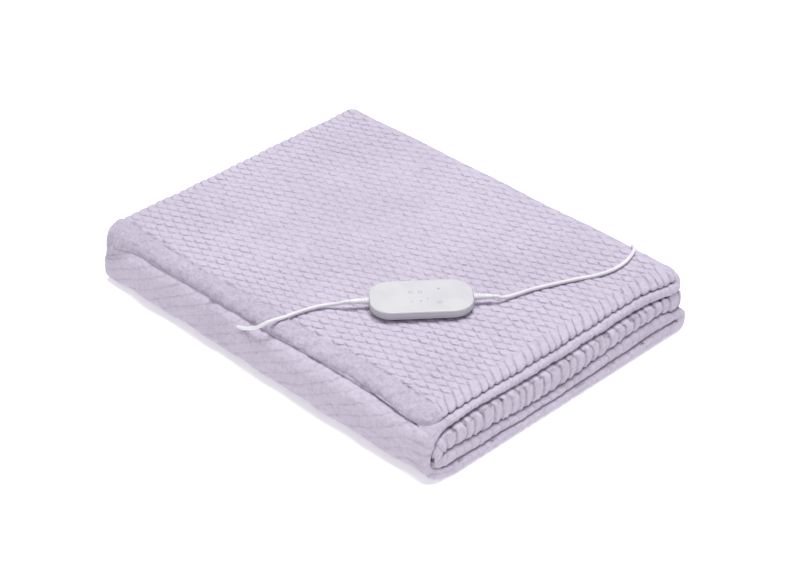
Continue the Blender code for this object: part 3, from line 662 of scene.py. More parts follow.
def lies_on_fold(x, y):
    """The lower face of the hem, which lies on the big fold's shoulder."""
    past = (-y - LEFT_TURN) / (-big_fold_reach(x) - LEFT_TURN)
    up = (1 - np.clip(past, 0, 0.999) ** SHOULDER_ROUNDNESS) ** (1 / SHOULDER_ROUNDNESS)
    shoulder = mix(big_fold_widest(x), upper(1, x, -LEFT_TURN), up) + LAYER_GAP
    sink = mix(HEM_SINK, HEM_SINK_AT_SPOTS, crease_open(x))
    sink = sink * ease((-y - LEFT_TURN) / HEM_SINK_OVER)
    return np.where(y < -LEFT_TURN, shoulder - sink, lower(0, x, y))


def lies_flat(x, y):
    return lower(2, x, y)


def edged_part(layer, nose, tip, end, edge_first, widest, under):
    """Like flat_part, for a layer that begins or ends in a round edge. The edge's roundness goes
    from nose(x) out to tip(x), and is widest at a share of the layer's height. under(x, y) is
    the layer's lower face."""

    def faces(t, x):
        from_edge = t if edge_first else 1 - t
        out, thick = round_edge(from_edge)
        inside = np.clip((from_edge - EDGE_SHARE) / (1 - EDGE_SHARE), 0, 1)
        at = mix(nose(x), end, inside)
        y = at + (tip(x) - nose(x)) * out
        thick_below = (1 - out**HEM_UNDER_ROUNDNESS) ** (1 / HEM_UNDER_ROUNDNESS)
        top, bottom = upper(layer, x, at), under(x, y)
        level = mix(bottom, top, widest)
        return y, mix(level, top, thick), y, mix(level, bottom, thick_below), layer + 0 * y

    return faces


def turn(t, start_y, reach_y, top, bottom, widest=None, shoulder=FOLD_ROUNDNESS):
    """One face of a turn of the cloth, from its top at t = 0 to its bottom at t = 1. shoulder
    is how square its upper half is."""
    widest = (top + bottom) / 2 if widest is None else widest
    out, up = rounded(math.pi / 2 - math.pi * t, np.where(t < 0.5, shoulder, FOLD_ROUNDNESS))
    height = np.where(up > 0, top - widest, widest - bottom)
    return mix(start_y, reach_y, out), widest + up * height


def top_fold(t, x):
    """Down at +Y, from the top layer into the second."""
    y = RIGHT_TURN
    outer = turn(t, y, TOP_FOLD_OUT + wobble_at(x) / 2, upper(0, x, y), lower(1, x, y))
    inner = turn(t, y, y + LAYER_GAP, lower(0, x, y), upper(1, x, y))
    return *outer, *inner, t


def by_far_end(x):
    return ease((FAR_SAG_FROM - x) / FAR_SAG_OVER)


def big_fold_reach(x):
    splay = BIG_FOLD_SPLAY * ease(0.5 + x / STACK_END) - FAR_TUCK * by_far_end(x)
    return -BIG_FOLD_OUT - splay + abs(wobble_at(x)) / 2


def big_fold_widest(x):
    return BIG_FOLD_WIDEST - FAR_SAG * by_far_end(x)


def big_fold(t, x):
    """Down at -Y, from the second layer into the bottom one."""
    y, reach, widest = -LEFT_TURN, big_fold_reach(x), big_fold_widest(x)
    outer = turn(t, y, reach + BIG_FOLD_WALL, lower(1, x, y), upper(4, x, y), widest)
    inner = turn(t, y, reach, upper(1, x, y), 0.0 * x, widest, SHOULDER_ROUNDNESS)
    return *outer, *inner, mix(1, 4, t)


def bottom_fold(t, x):
    """Up at +Y, from the bottom layer into the fourth."""
    y, reach = RIGHT_TURN, BOTTOM_FOLD_OUT - abs(wobble_at(x)) / 2
    outer = turn(1 - t, y, y + LAYER_GAP, lower(3, x, y), upper(4, x, y))
    inner = turn(1 - t, y, reach, upper(3, x, y), 0.0 * x)
    return *outer, *inner, mix(4, 3, t)


def nested_fold(t, x):
    """Up inside the big fold, from the fourth layer into the middle one."""
    y, reach = -LEFT_TURN, big_fold_reach(x) + BIG_FOLD_WALL + NEST_GAP
    outer = turn(1 - t, y, reach, upper(2, x, y), lower(3, x, y), big_fold_widest(x))
    inner = turn(1 - t, y, y - NEST_CREASE, lower(2, x, y), upper(3, x, y))
    return *outer, *inner, mix(3, 2, t)


def middle_edge_nose(x):
    return MIDDLE_EDGE_OUT - MIDDLE_EDGE_TURN + 0 * x


def middle_edge_tip(x):
    return MIDDLE_EDGE_OUT - wobble_at(x) / 2


# The cloth's way through the stack, how many steps of the mesh's finest grid it takes, and
# about how long each part is.
PATH = (
    ("top", 288, 0.368,
     edged_part(0, hem_nose, hem_tip, RIGHT_TURN, True, HEM_WIDEST, lies_on_fold)),
    ("top_fold", 32, 0.045, top_fold),
    ("second", 288, 0.340, flat_part(1, RIGHT_TURN, -LEFT_TURN, False)),
    ("big_fold", 64, 0.110, big_fold),
    ("bottom", 288, 0.340, flat_part(4, -LEFT_TURN, RIGHT_TURN, True)),
    ("bottom_fold", 32, 0.050, bottom_fold),
    ("fourth", 288, 0.340, flat_part(3, RIGHT_TURN, -LEFT_TURN, False)),
    ("nested_fold", 48, 0.065, nested_fold),
    ("middle", 288, 0.344,
     edged_part(2, middle_edge_nose, middle_edge_tip, -LEFT_TURN, False, 0.5, lies_flat)),
)
PATH_STARTS = np.cumsum([0] + [part[1] for part in PATH])
PATH_PLACES = {part[0]: k for k, part in enumerate(PATH)}


def end_of(layer, y, column):
    """Where the rolled end is along X, for a place between two layers, rounded in plan. column
    is 0 for the near end and 1 for the far one."""
    ends = [row[column] for row in LAYER_ENDS]
    value = np.interp(layer, range(len(ends)), ends)
    into_corner = np.clip((abs(y) - (BIG_FOLD_OUT - CORNER_ROUND)) / CORNER_ROUND, 0.0, 0.98)
    rounding = CORNER_ROUND * CORNER_SHARE * (1 - np.sqrt(1 - into_corner**2))
    into_hem = np.clip((-y - HEM_CORNER_FROM) / (HEM_CORNER_TO - HEM_CORNER_FROM), 0.0, 1.0)
    rounding = rounding + np.where((layer < 0.5) & (value > 0), HEM_CORNER * into_hem**2, 0.0)
    uneven = END_WOBBLE * abs(wave(y / END_WOBBLE_LENGTH + LAYER_SHIFT * layer))
    uneven = np.where(layer == len(ends) - 1, 0.0, uneven)
    by_top_corner = ease((y - TOP_CORNER_FROM) / TOP_CORNER_OVER)
    longer = np.where((layer <= 1) & (value > 0), TOP_CORNER_OUT * by_top_corner, 0.0)
    return value + longer - np.sign(value) * (rounding + uneven)


# ---- the way round the cloth's three plies ----


def face_along(share, to_near):
    """A ply's face along the stack: from its far end to its near one, or back."""

    def at(t):
        return (t if to_near else 1 - t), share + 0 * t, 0 * t

    return at


def roll_over(share_from, share_to, reach, at_near):
    """The cloth's way round an end, from one share of the layer to another. reach is how far
    out it goes, as a share of the layer's rolled end."""

    def at(t):
        middle, half = (share_from + share_to) / 2, (share_from - share_to) / 2
        out = reach * np.sin(math.pi * t)
        across = middle + half * np.cos(math.pi * t)
        return (0 * t + (1 if at_near else 0)), across, (out if at_near else -out)

    return at


ROUND = (
    # part, steps, its way: the share along the stack, the share of the layer, and how far past
    # the end of its flat part, as a share of the rolled end
    ("outer_face", 192, face_along(1.0, True)),
    ("near_roll", 16, roll_over(1.0, -1.0, 1.0, True)),
    ("inner_face", 192, face_along(-1.0, False)),
    ("far_roll", 16, roll_over(-1.0, MIDDLE_PLY_EDGE, 1.0, False)),
    ("middle_top", 192, face_along(MIDDLE_PLY_EDGE, True)),
    ("middle_nose", 16, roll_over(MIDDLE_PLY_EDGE, -MIDDLE_PLY_EDGE, 0.28, True)),
    ("middle_underside", 192, face_along(-MIDDLE_PLY_EDGE, False)),
    ("far_bend", 16, roll_over(-MIDDLE_PLY_EDGE, -PLY_EDGE, 0.05, False)),
    ("inner_ply_back", 192, face_along(-PLY_EDGE, True)),
    ("near_bend", 16, roll_over(-PLY_EDGE, PLY_EDGE, 0.36, True)),
    ("outer_ply_back", 192, face_along(PLY_EDGE, False)),
    ("far_hem", 16, roll_over(PLY_EDGE, 1.0, 0.6, False)),
)
ROUND_STARTS = np.cumsum([0] + [part[1] for part in ROUND])
ROUND_PLACES = {part[0]: k for k, part in enumerate(ROUND)}


def where_in(starts, steps):
    """Which part of a way each step is in, and how far along that part it is, from 0 to 1."""
    part = np.clip(np.searchsorted(starts, steps, side="right") - 1, 0, len(starts) - 2)
    return part, (steps - starts[part]) / (starts[part + 1] - starts[part])


class Spots:
    """Places on the cloth: the part of its path and of the way round its plies that each is in,
    and how far along that part it is."""

    def __init__(self, path_steps, round_steps):
        self.path, self.path_t = where_in(PATH_STARTS, path_steps)
        self.round, self.round_t = where_in(ROUND_STARTS, round_steps)
        self.on_near_roll = self.round == ROUND_PLACES["near_roll"]
        self.on_top = self.path == PATH_PLACES["top"]
        self.on_big_fold = self.path == PATH_PLACES["big_fold"]
        self.on_top_face = self.on_top & (round_steps <= ROUND_STARTS[1])


def cloth_points(path_steps, round_steps):
    """The cloth's points, without its lattice and creases, and the layer of each."""
    spots = Spots(path_steps, round_steps)
    along, share, past_end = np.zeros((3, len(path_steps)))
    for k, (_, _, way) in enumerate(ROUND):
        here = spots.round == k
        along[here], share[here], past_end[here] = way(spots.round_t[here])
    section_x = mix(-1, 1, along) * (STACK_END - END_ROLL)
    outer_y, outer_z, inner_y, inner_z, layer = np.zeros((5, len(path_steps)))
    for k, (_, _, _, faces) in enumerate(PATH):
        here = spots.path == k
        found = faces(spots.path_t[here], section_x[here])
        outer_y[here], outer_z[here], inner_y[here], inner_z[here], layer[here] = found
    middle_y = (outer_y + inner_y) / 2
    topmost = 1 - ease(layer)
    longer = topmost * (spots.round <= ROUND_PLACES["near_roll"]) * (share > 0)
    reach = mix(END_ROLL, TOP_ROLL, longer)
    roundness = mix(ROLL_ROUNDNESS, TOP_ROLL_ROUNDNESS, longer)
    rolled = (1 - np.clip(abs(share), 0, 1) ** roundness) ** (1 / roundness)
    swing = wandering(middle_y, *CREASE_FILL_WAVE) + LAYER_SHIFT * layer
    filled = CREASE_FILL * (1 - longer) * ease(0.6 + 0.6 * wave(swing))
    past_end = np.where(spots.on_near_roll, np.maximum(rolled, filled), past_end)
    from_edge = np.where(spots.on_top, spots.path_t, 1.0)
    from_edge = np.where(spots.path == PATH_PLACES["middle"], 1 - spots.path_t, from_edge)
    past_end = past_end * mix(EDGE_END_ROLL, 1.0, round_edge(from_edge)[1])
    inside = spots.round > ROUND_PLACES["inner_face"]
    near = end_of(layer, middle_y, 0) - np.where(inside, PLY_BACK, reach)
    far = end_of(layer, middle_y, 1) + END_ROLL
    droop = np.where(spots.on_near_roll, mix(1.0, TOP_ROLL_DROOP, topmost), 1.0)
    up = ((share + 1) / 2) ** droop
    x = mix(far, near, along) + past_end * reach
    return np.stack([x, mix(inner_y, outer_y, up), mix(inner_z, outer_z, up)], axis=1), layer


def cloth_normals(path_steps, round_steps):
    """Which way the cloth faces at its points, by small steps either way."""
    step = 0.25

    def beside(path_by, round_by):
        path_at = np.clip(path_steps + path_by, 0, PATH_STARTS[-1])
        return cloth_points(path_at, (round_steps + round_by) % ROUND_STARTS[-1])[0]

    round_way = beside(0, step) - beside(0, -step)
    normals = np.cross(round_way, beside(step, 0) - beside(-step, 0))
    lengths = np.linalg.norm(normals, axis=1, keepdims=True)
    return normals / np.maximum(lengths, 1e-12)


# ---- the lattice, ribs and creases ----


def grooves_passed(spots, y, z):
    """How many grooves the cloth has passed along its path, from the middle of its top."""
    counts = [length / RIB_PITCH for _, _, length, _ in PATH]
    counts[PATH_PLACES["second"]] = PATH[PATH_PLACES["second"]][2] / SECOND_RIB_PITCH
    counts[0] = RIGHT_TURN / LATTICE_SHORT
    starts = np.cumsum([0] + counts)[:-1]
    passed = starts[spots.path] + spots.path_t * np.array(counts)[spots.path]
    passed = np.where(spots.on_big_fold, (STACK_HEIGHT - z) / SIDE_LINE_PITCH, passed)
    return np.where(spots.on_top, y / LATTICE_SHORT, passed)


def peak(place, middle):
    """1 where the place between two grooves is near middle, falling to 0 half a groove away."""
    return ease(0.5 + 0.5 * np.cos(2 * math.pi * (place - middle)))


def crowned(place):
    """How high the cloth stands between two grooves: 0 in a groove and 1 on the crown."""
    share = (place - np.floor(place)) ** LATTICE_LEAN
    return np.maximum(4 * share * (1 - share), 0.0)


def lattice_strength(points, spots, layer):
    """How strongly the grooves show: less on the hem, in the folds and on a part of the top."""
    x, y = points[:, 0], points[:, 1]
    in_fold = (layer % 1 > 0) * np.sqrt(np.sin(math.pi * np.clip(spots.path_t, 0, 1)))
    strength = np.interp(layer, range(len(LAYER_RIBS)), LAYER_RIBS)
    strength = np.where(spots.on_big_fold, BIG_FOLD_LINES, strength * (1 - FOLD_FADE * in_fold))
    pale = PALE_SHARE * bell(np.hypot(x - PALE_AT[0], y - PALE_AT[1]), PALE_SIZE)
    on_hem = ease((hem_seam(x) + HEM_FADE_FROM - y) / HEM_FADE_OVER)
    on_top = strength * (1 - pale) * (1 - HEM_FADE * on_hem)
    strength = np.where(spots.on_top, on_top, strength)
    before_roll = x < end_of(layer, y, 0) - END_ROLL - 0.010
    hidden = ~spots.on_top & (layer % 1 == 0) & before_roll & (x > FAR_RIDGE)
    return np.where(hidden, 0.0, strength)


def lattice_at(points, spots, layer):
    """For each point: where it is between the grooves of either family and how much painted
    shade the two get there, and how far the cloth is lifted from its crowns, which is 0 or less."""
    x, y, z = points.T
    on_side = spots.on_big_fold

    # The grooves, with some wander. Past a ridge the flat family stops.
    past_ridge = ease((x - NEAR_RIDGE) / RIDGE_BLEND)
    at_an_end = np.maximum(past_ridge, ease((FAR_RIDGE - x) / RIDGE_BLEND))
    passed = grooves_passed(spots, y, z)
    warp = waves(LATTICE_WANDER, x, passed) + waves(RIB_WANDER, passed, layer) * past_ridge
    bow = RIB_LEAN / RIB_PITCH * np.cos(2.1 * layer) * (layer > 0)
    over_roll = np.sin(math.pi * np.where(spots.on_near_roll, spots.round_t, 0.0))
    passed = passed + warp + bow * over_roll
    along = np.clip(x, FAR_RIDGE, np.where(spots.on_top, x, NEAR_RIDGE)) / LATTICE_LONG
    steep, flat = passed + along, passed - along
    bent_steep = steep + LATTICE_CURVE * wave(flat) * (1 - at_an_end)
    bent_flat = flat + LATTICE_CURVE * wave(steep)
    strength = lattice_strength(points, spots, layer)

    # A dash comes down a steep groove and runs on along the flat one that it meets. Their
    # darkness is painted shade in the grooves, and the hooks' shade grows towards the near end.
    nearer = ease((x + 0.02 - 0.6 * y) / 0.30)
    dash = mix(*DASH_DARK, peak(steep, DASH_AT))
    hook = mix(mix(HOOK_DARK_FAR, HOOK_DARK[0], nearer), HOOK_DARK[1], peak(flat, HOOK_AT))
    rib = np.where(layer == 2, mix(*THIRD_RIB_DARK, spots.round_t), RIB_DARK)
    steep_groove_shade = mix(np.where(on_side, SIDE_DARK, hook), rib, at_an_end) * strength
    flat_groove_shade = np.where(on_side, 0.0, dash) * strength * (1 - at_an_end)

    flat_weight = np.where(on_side, 0.1, 1.0) * (1 - at_an_end)
    puff = crowned(bent_steep) ** (LATTICE_SHAPE * mix(0.85, 1.6, at_an_end))
    puff = puff * crowned(bent_flat) ** (LATTICE_SHAPE * flat_weight)
    lift = mix(LATTICE_DEPTH, RIB_DEPTH, at_an_end) * strength * (puff - 1)
    return np.stack([bent_steep, bent_flat, steep_groove_shade, flat_groove_shade], axis=1), lift


def swell_at(points, spots):
    """Slow unevenness of the hem and the big fold's side."""
    x, y, z = points.T
    hem = spots.on_top_face * ease((hem_nose(x) + 0.003 - y) / 0.006)
    lumps = sum(
        height * wave(wandering(x, length, wander, over) + y / across)
        for height, length, wander, over, across in HEM_LUMPS
    )
    side = spots.on_big_fold * np.sin(math.pi * np.clip(spots.path_t, 0, 1))
    return hem * (lumps + waves(HEM_SWELL, x, y)) + side * waves(SIDE_WAVES, x, z)


def hem_shade(points, spots):
    """How much painted shade the hem and the groove of its sewn line get at each point."""
    x, y = points[:, 0], points[:, 1]
    uneven = 0.60 + 0.40 * wave(wandering(x, *SEAM_UNEVEN))
    painted_seam_shade = SEAM_SHADE * uneven * bell(y - hem_seam(x), HEM_STITCH_WIDTH)
    # painted shade on the hem past its seam
    hem = HEM_SHADE * ease((hem_seam(x) - y) / HEM_SHADE_OVER)
    return spots.on_top * np.maximum(painted_seam_shade * spots.on_top_face, hem)


def placed_creases():
    """The listed creases: one end and the other in metres, width, depth, darkness of painted shade.
    """
    y, z = HEM_CREASE_AT
    along, across, down = HEM_PLEAT_RUN
    found = [((start, y, z), (end, y, z), HEM_CREASE) for start, end in HEM_CREASE_SPOTS]
    found += [((x, y - 2, z), (x + along, y + across, z + down), HEM_PLEAT) for x in HEM_PLEATS]
    for y, length in NEAR_CREASE_SPOTS:
        x, half = NEAR_CREASE_X, length / 2
        z = 1000 * float(gap_height(GAP_UNDER_SECOND, x / 1000, y / 1000)) - 0.5
        found.append(((x, y - half, z + 1), (x, y + half, z - 2), NEAR_CREASE))
    found += [(row[:3], row[3:], CORNER_PLEAT) for row in CORNER_PLEATS]
    return [(np.array(a) / 1000, np.array(b) / 1000, *kind) for a, b, kind in found]


def pressed_at(points):
    """How deep the listed creases are at each point, and how dark their painted shade is."""
    depth_there, painted_shade_there = np.zeros((2, len(points)))
    for a, b, width, depth, dark in placed_creases():
        way = b - a
        share = np.clip((points - a) @ way / (way @ way), 0, 1)
        near = bell(np.linalg.norm(points - a - share[:, None] * way, axis=1), width)
        depth_there = np.maximum(depth_there, depth * near)
        painted_shade_there = np.maximum(painted_shade_there, dark * near)
    return depth_there, painted_shade_there


# ---- the cloth's mesh ----

BLOCK = 16  # steps of the finest grid in the coarsest face
NEAR_MARGIN = 4  # steps beside a near roll that are finer


def face_sizes(path_name, round_name):
    """How many steps of the finest grid a face takes along the path and round the plies, where
    a part of the cloth shows more or less."""
    if path_name == "top" and round_name in ("outer_face", "near_roll"):
        return 1, 1
    if round_name == "near_roll":
        return {"middle": (1, 1), "second": (1, 2)}.get(path_name, (2, 2))
    if (path_name, round_name) == ("big_fold", "inner_face"):
        return 1, 2
    if (path_name, round_name) in (("top_fold", "outer_face"), ("bottom_fold", "inner_face")):
        return 2, 2
    if round_name in ("far_roll", "far_hem"):
        return 2, 4
    return (4, BLOCK) if path_name.endswith("fold") else (BLOCK, BLOCK)


def cloth_faces():
    """Every face as (path from, path to, round from, round to), in steps of the finest grid."""
    found = []
    for p, (path_name, path_count, _, _) in enumerate(PATH):
        for r, (round_name, round_count, _) in enumerate(ROUND):
            size, round_size = face_sizes(path_name, round_name)
            bands = [(0, round_count, size, round_size)]
            margin = min(2, size)
            if round_name == "outer_face" and size > 1:
                bands = [(0, round_count - NEAR_MARGIN, size, round_size),
                         (round_count - NEAR_MARGIN, round_count, margin, NEAR_MARGIN)]
            if round_name == "inner_face":
                bands = [(0, NEAR_MARGIN, margin, NEAR_MARGIN),
                         (NEAR_MARGIN, round_count, size, round_size)]
            for low, high, size, round_size in bands:
                for j in range(low, high, round_size):
                    j_end = min(j + round_size, high)
                    for i in range(0, path_count, size):
                        found.append((PATH_STARTS[p] + i, PATH_STARTS[p] + i + size,
                                      ROUND_STARTS[r] + j, ROUND_STARTS[r] + j_end))
    return np.array(found).tolist()


def blanket_mesh():
    """The whole cloth as one closed mesh. A coarse face takes in the corners of the finer ones
    beside it, so that no gap opens between them."""
    whole_round = int(ROUND_STARTS[-1])
    faces = cloth_faces()
    corners = {}
    for i0, i1, j0, j1 in faces:
        for key in ((i0, j0), (i0, j1), (i1, j0), (i1, j1)):
            corners.setdefault((key[0], key[1] % whole_round), len(corners))
    steps = np.array(list(corners), dtype=float).T
    spots = Spots(*steps)
    points, layer = cloth_points(*steps)
    normals = cloth_normals(*steps)
    lattice, lift = lattice_at(points, spots, layer)
    # crease: the painted shade of the listed creases, the hem and its seam
    pressed, crease = pressed_at(points)
    crease = np.maximum(crease, hem_shade(points, spots))
    lift += swell_at(points, spots) - pressed
    points = points + normals * lift[:, None]

    def along_edge(i0, i1, j0, j1):
        """The corners from one point of the grid to another on the same line of it."""
        count = max(abs(i1 - i0), abs(j1 - j0))
        way_i, way_j = int(np.sign(i1 - i0)), int(np.sign(j1 - j0))
        keys = [(i0 + k * way_i, (j0 + k * way_j) % whole_round) for k in range(count)]
        return [corners[key] for key in keys if key in corners]

    def whole_part(i, name):
        """The corners all along one part of the way round the plies, its last one included."""
        k = ROUND_PLACES[name]
        j0, j1 = int(ROUND_STARTS[k]), int(ROUND_STARTS[k + 1])
        return along_edge(i, i, j0, j1) + [corners[(i, j1 % whole_round)]]

    polygons = [
        along_edge(i0, i1, j0, j0) + along_edge(i1, i1, j0, j1)
        + along_edge(i1, i0, j1, j1) + along_edge(i0, i0, j1, j0)
        for i0, i1, j0, j1 in faces
    ]
    pairs = (("outer_face", "outer_ply_back"), ("near_roll", "near_bend"),
             ("inner_face", "inner_ply_back"), ("far_roll", "far_bend"),
             ("middle_top", "middle_underside"))
    caps = []
    for i in (0, int(PATH_STARTS[-1])):
        caps += [whole_part(i, one) + whole_part(i, other) for one, other in pairs]
        caps += [whole_part(i, name) for name in ("middle_nose", "far_hem")]

    mesh = bpy.data.meshes.new("blanket_cloth")
    mesh.from_pydata(points.tolist(), [], polygons + caps)
    attribute = mesh.attributes.new("lattice", "FLOAT_COLOR", "POINT")
    attribute.data.foreach_set("color", lattice.astype(np.float32).ravel())
    # the painted shade of creases, the hem and its seam, for the fleece material
    attribute = mesh.attributes.new("crease", "FLOAT", "POINT")
    attribute.data.foreach_set("value", crease.astype(np.float32))
    bm = bmesh.new()
    bm.from_mesh(mesh)
    bmesh.ops.recalc_face_normals(bm, faces=bm.faces)
    bm.to_mesh(mesh)
    bm.free()
    mesh.polygons.foreach_set("use_smooth", [True] * len(polygons) + [False] * len(caps))
    return mesh


def make_blanket(mat):
    cloth = place("blanket_cloth", blanket_mesh(), mat, "fleece")
    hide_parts("blanket")


# ---- the hand control ----


CONTROL_PLACE = turned_place(CONTROL_AT, 0, CONTROL_TURN)


def on_control(x, y, z):
    return CONTROL_PLACE @ Vector((x, y, z))


def control_outline(inset, steps=18):
    """The outline of the control in plan, going round from its +Y corner at +X."""
    length, width = CONTROL_LENGTH - 2 * inset, CONTROL_WIDTH - 2 * inset
    corner = CONTROL_CORNER - inset
    points = []
    for k, (sx, sy) in enumerate(((1, 1), (-1, 1), (-1, -1), (1, -1))):
        cx, cy = sx * (length / 2 - corner), sy * (width / 2 - corner)
        for step in range(steps + 1):
            angle = math.pi / 2 * (k + step / steps)
            points.append((cx + corner * math.cos(angle), cy + corner * math.sin(angle)))
    return points


def shell(name, node, levels, mat):
    """A shell of the control through levels of (height, how much smaller than the outline)."""
    rings = [[on_control(x, y, height) for x, y in control_outline(inset)]
             for height, inset in levels]
    o = place(name, ring_mesh(name, rings), mat, "control_shell", 30)
    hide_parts(node)


def control_shells(mat):
    """The lower shell, whose side curves in to its underside, and the upper one, with a round
    edge and an all but flat top."""
    low, high = PARTING_HEIGHT - CLEAR / 2, PARTING_HEIGHT + CLEAR / 2
    base = [(mix(CONTROL_SEAT, low, share), BASE_TUCK * (1 - share) ** BASE_CURVE)
            for share in np.linspace(0, 1, 13)]
    cover = [(CONTROL_TOP - COVER_EDGE * (1 - s), COVER_EDGE * (1 - c)) for c, s in quarter(8)]
    shell("control_base_shell", "control_base", base, mat)
    shell("control_cover_shell", "control_cover", [(high, 0.0), *cover], mat)


def on_cover(along, across):
    """A point just over the cover, for a place in millimetres."""
    return on_control(along / 1000, across / 1000, CONTROL_TOP + MARK_HEIGHT)


def circle_on_cover(along, across, diameter):
    return [
        on_cover(along + diameter / 2 * math.cos(a), across + diameter / 2 * math.sin(a))
        for a in all_round(32)
    ]


def control_marks(mat):
    """The printed marks: rings, dots and a short bar."""
    bm = bmesh.new()
    for along, across in MARK_RINGS:
        join(bm, *(
            [bm.verts.new(p) for p in circle_on_cover(along, across, diameter)]
            for diameter in (MARK_RING_DIAMETER, MARK_RING_DIAMETER - 2 * MARK_LINE)
        ))
    along, across = MARK_BAR
    bar = [on_cover(along + sx * MARK_LINE / 2, across + sy * MARK_BAR_LENGTH / 2)
           for sx, sy in SQUARE]
    for patch in [*(circle_on_cover(*dot) for dot in MARK_DOTS), bar]:
        bm.faces.new([bm.verts.new(p) for p in patch])
    place("control_marks", mesh_of("control_marks", bm), mat, "control_shell")


def relief(name, node, side, mat):
    """A ribbed, tapered strain relief on one end of the control."""
    start = CONTROL_LENGTH / 2 + CLEAR
    profile = []
    for k in range(RELIEF_STEPS + 1):
        share = k / RELIEF_STEPS
        radius = mix(RELIEF_THICK, RELIEF_THIN, share) / 2
        rib = share * RELIEF_RIBS / RELIEF_RIBBED
        if rib < RELIEF_RIBS:
            radius -= RELIEF_GROOVE * bell(rib % 1 - 0.5, RELIEF_GROOVE_WIDTH)
        if k == RELIEF_STEPS:
            radius -= RELIEF_EDGE
        profile.append((side * (start + RELIEF_LENGTH * share), radius))
    rings = turned_rings(CONTROL_PLACE, 0, RELIEF_HEIGHT, profile)
    o = place(name, ring_mesh(name, rings), mat, "cord_vinyl", 40)
    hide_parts(node)


# ---- leads ----


def smooth_line(points, spacing):
    """Points on a smooth curve through the route's own points. The first two and the last two
    are the route's, so that each end points straight along them, and the rest are evenly apart."""
    p = [Vector(q) for q in points]
    p = [2 * p[0] - p[1], *p, 2 * p[-1] - p[-2]]
    fine = []
    for a, b, c, d in zip(p, p[1:], p[2:], p[3:]):
        for k in range(CURVE_STEPS):
            t = k / CURVE_STEPS
            fine.append(0.5 * (2 * b + (c - a) * t + (2 * a - 5 * b + 4 * c - d) * t * t
                               + (3 * b - a - 3 * c + d) * t**3))
    fine.append(p[-2])
    lengths = np.cumsum([0] + [(b - a).length for a, b in zip(fine, fine[1:])])
    first, last = lengths[CURVE_STEPS], lengths[-1 - CURVE_STEPS]
    between = np.linspace(first, last, max(2, round((last - first) / spacing) + 1))
    fine = np.array(fine)
    return [
        tuple(np.interp(s, lengths, fine[:, axis]) for axis in range(3))
        for s in (0, *between, lengths[-1])
    ]


def tube(name, points, mat):
    """A cord along points: a round curve with filled caps."""
    data = bpy.data.curves.new(name, "CURVE")
    data.dimensions = "3D"
    data.bevel_depth = CORD_DIAMETER / 2
    data.bevel_resolution = 4
    data.use_fill_caps = True
    spline = data.splines.new("POLY")
    line = smooth_line(points, CORD_SPACING)
    spline.points.add(len(line) - 1)
    for point, q in zip(spline.points, line):
        point.co = (*q, 1.0)
    spline.use_smooth = True
    return place(name, data, mat, "cord_vinyl")


def coil_point(angle, out=0.0, up=0.0):
    """A point by the coil's ring: out from its middle circle, and up from its middle height."""
    radius = COIL_MIDDLE_DIAMETER / 2 + out
    return Vector((COIL_AT[0] + radius * math.cos(angle), COIL_AT[1] + radius * math.sin(angle),
                   COIL_FLOOR + COIL_THICKNESS / 2 + up))


def coil_line():
    """The lead's way round the coil: in at its outside, from place to place, and out again."""
    column = (COIL_WIDTH - CORD_DIAMETER) / 2
    row = (COIL_THICKNESS - CORD_DIAMETER) / 2
    reach = COIL_WIDTH / 2 + CORD_DIAMETER / 2 + CLEAR
    whole = COIL_IN_ANGLE - COIL_OUT_ANGLE + 2 * math.pi * COIL_FULL_TURNS
    first_shift = COIL_IN_ANGLE - COIL_SHIFT_ANGLE - COIL_SHIFT_OVER / 2
    count = round(whole / (2 * math.pi) * COIL_POINTS)
    points = []
    for gone in [whole * k / count for k in range(count + 1)]:
        at = np.array(COIL_PLACES[0], dtype=float)
        for n, (before, after) in enumerate(zip(COIL_PLACES, COIL_PLACES[1:])):
            share = float(ease((gone - first_shift - 2 * math.pi * n) / COIL_SHIFT_OVER))
            at += (np.array(after) - before) * share
        out, up = at * (column, row)
        coming = float(ease(gone / COIL_LEAD_OVER))
        leaving = float(ease((whole - gone) / COIL_LEAD_OVER))
        out = mix(reach, out, coming * leaving)
        up = mix(COIL_IN_DROP, up, coming) if gone < whole / 2 else mix(COIL_OUT_RISE, up, leaving)
        points.append(coil_point(COIL_IN_ANGLE - gone, out, up))
    return points


PLUG_PLACE = turned_place(PLUG_AT, PLUG_AXIS_HEIGHT, PLUG_TURN)


def on_plug(x, y, z):
    return PLUG_PLACE @ Vector((x, y, z))


def out_of_relief(side):
    """Where the lead leaves a strain relief, and a point further that way."""
    along = CONTROL_LENGTH / 2 + CLEAR + RELIEF_LENGTH + CLEAR
    at = on_control(side * along, 0, RELIEF_HEIGHT)
    return at, at + CORD_STRAIGHT * (CONTROL_PLACE.to_3x3() @ Vector((side, 0, 0)))


def make_leads(mat):
    start = out_of_relief(-1)
    lead = tube("lead_to_blanket", [*start, *route_in_metres(BLANKET_LEAD_ROUTE)], mat)
    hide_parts("blanket_lead")

    start = out_of_relief(1)
    at_plug = [on_plug(-CLEAR - CORD_STRAIGHT, 0, 0), on_plug(-CLEAR, 0, 0)]
    points = [*start, *route_in_metres(MAINS_ROUTE), *coil_line(),
              *route_in_metres(TAIL_ROUTE), *at_plug]
    mains = tube("mains_lead", points, mat)
    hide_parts("mains_cord", "mains_coil", "mains_tail")


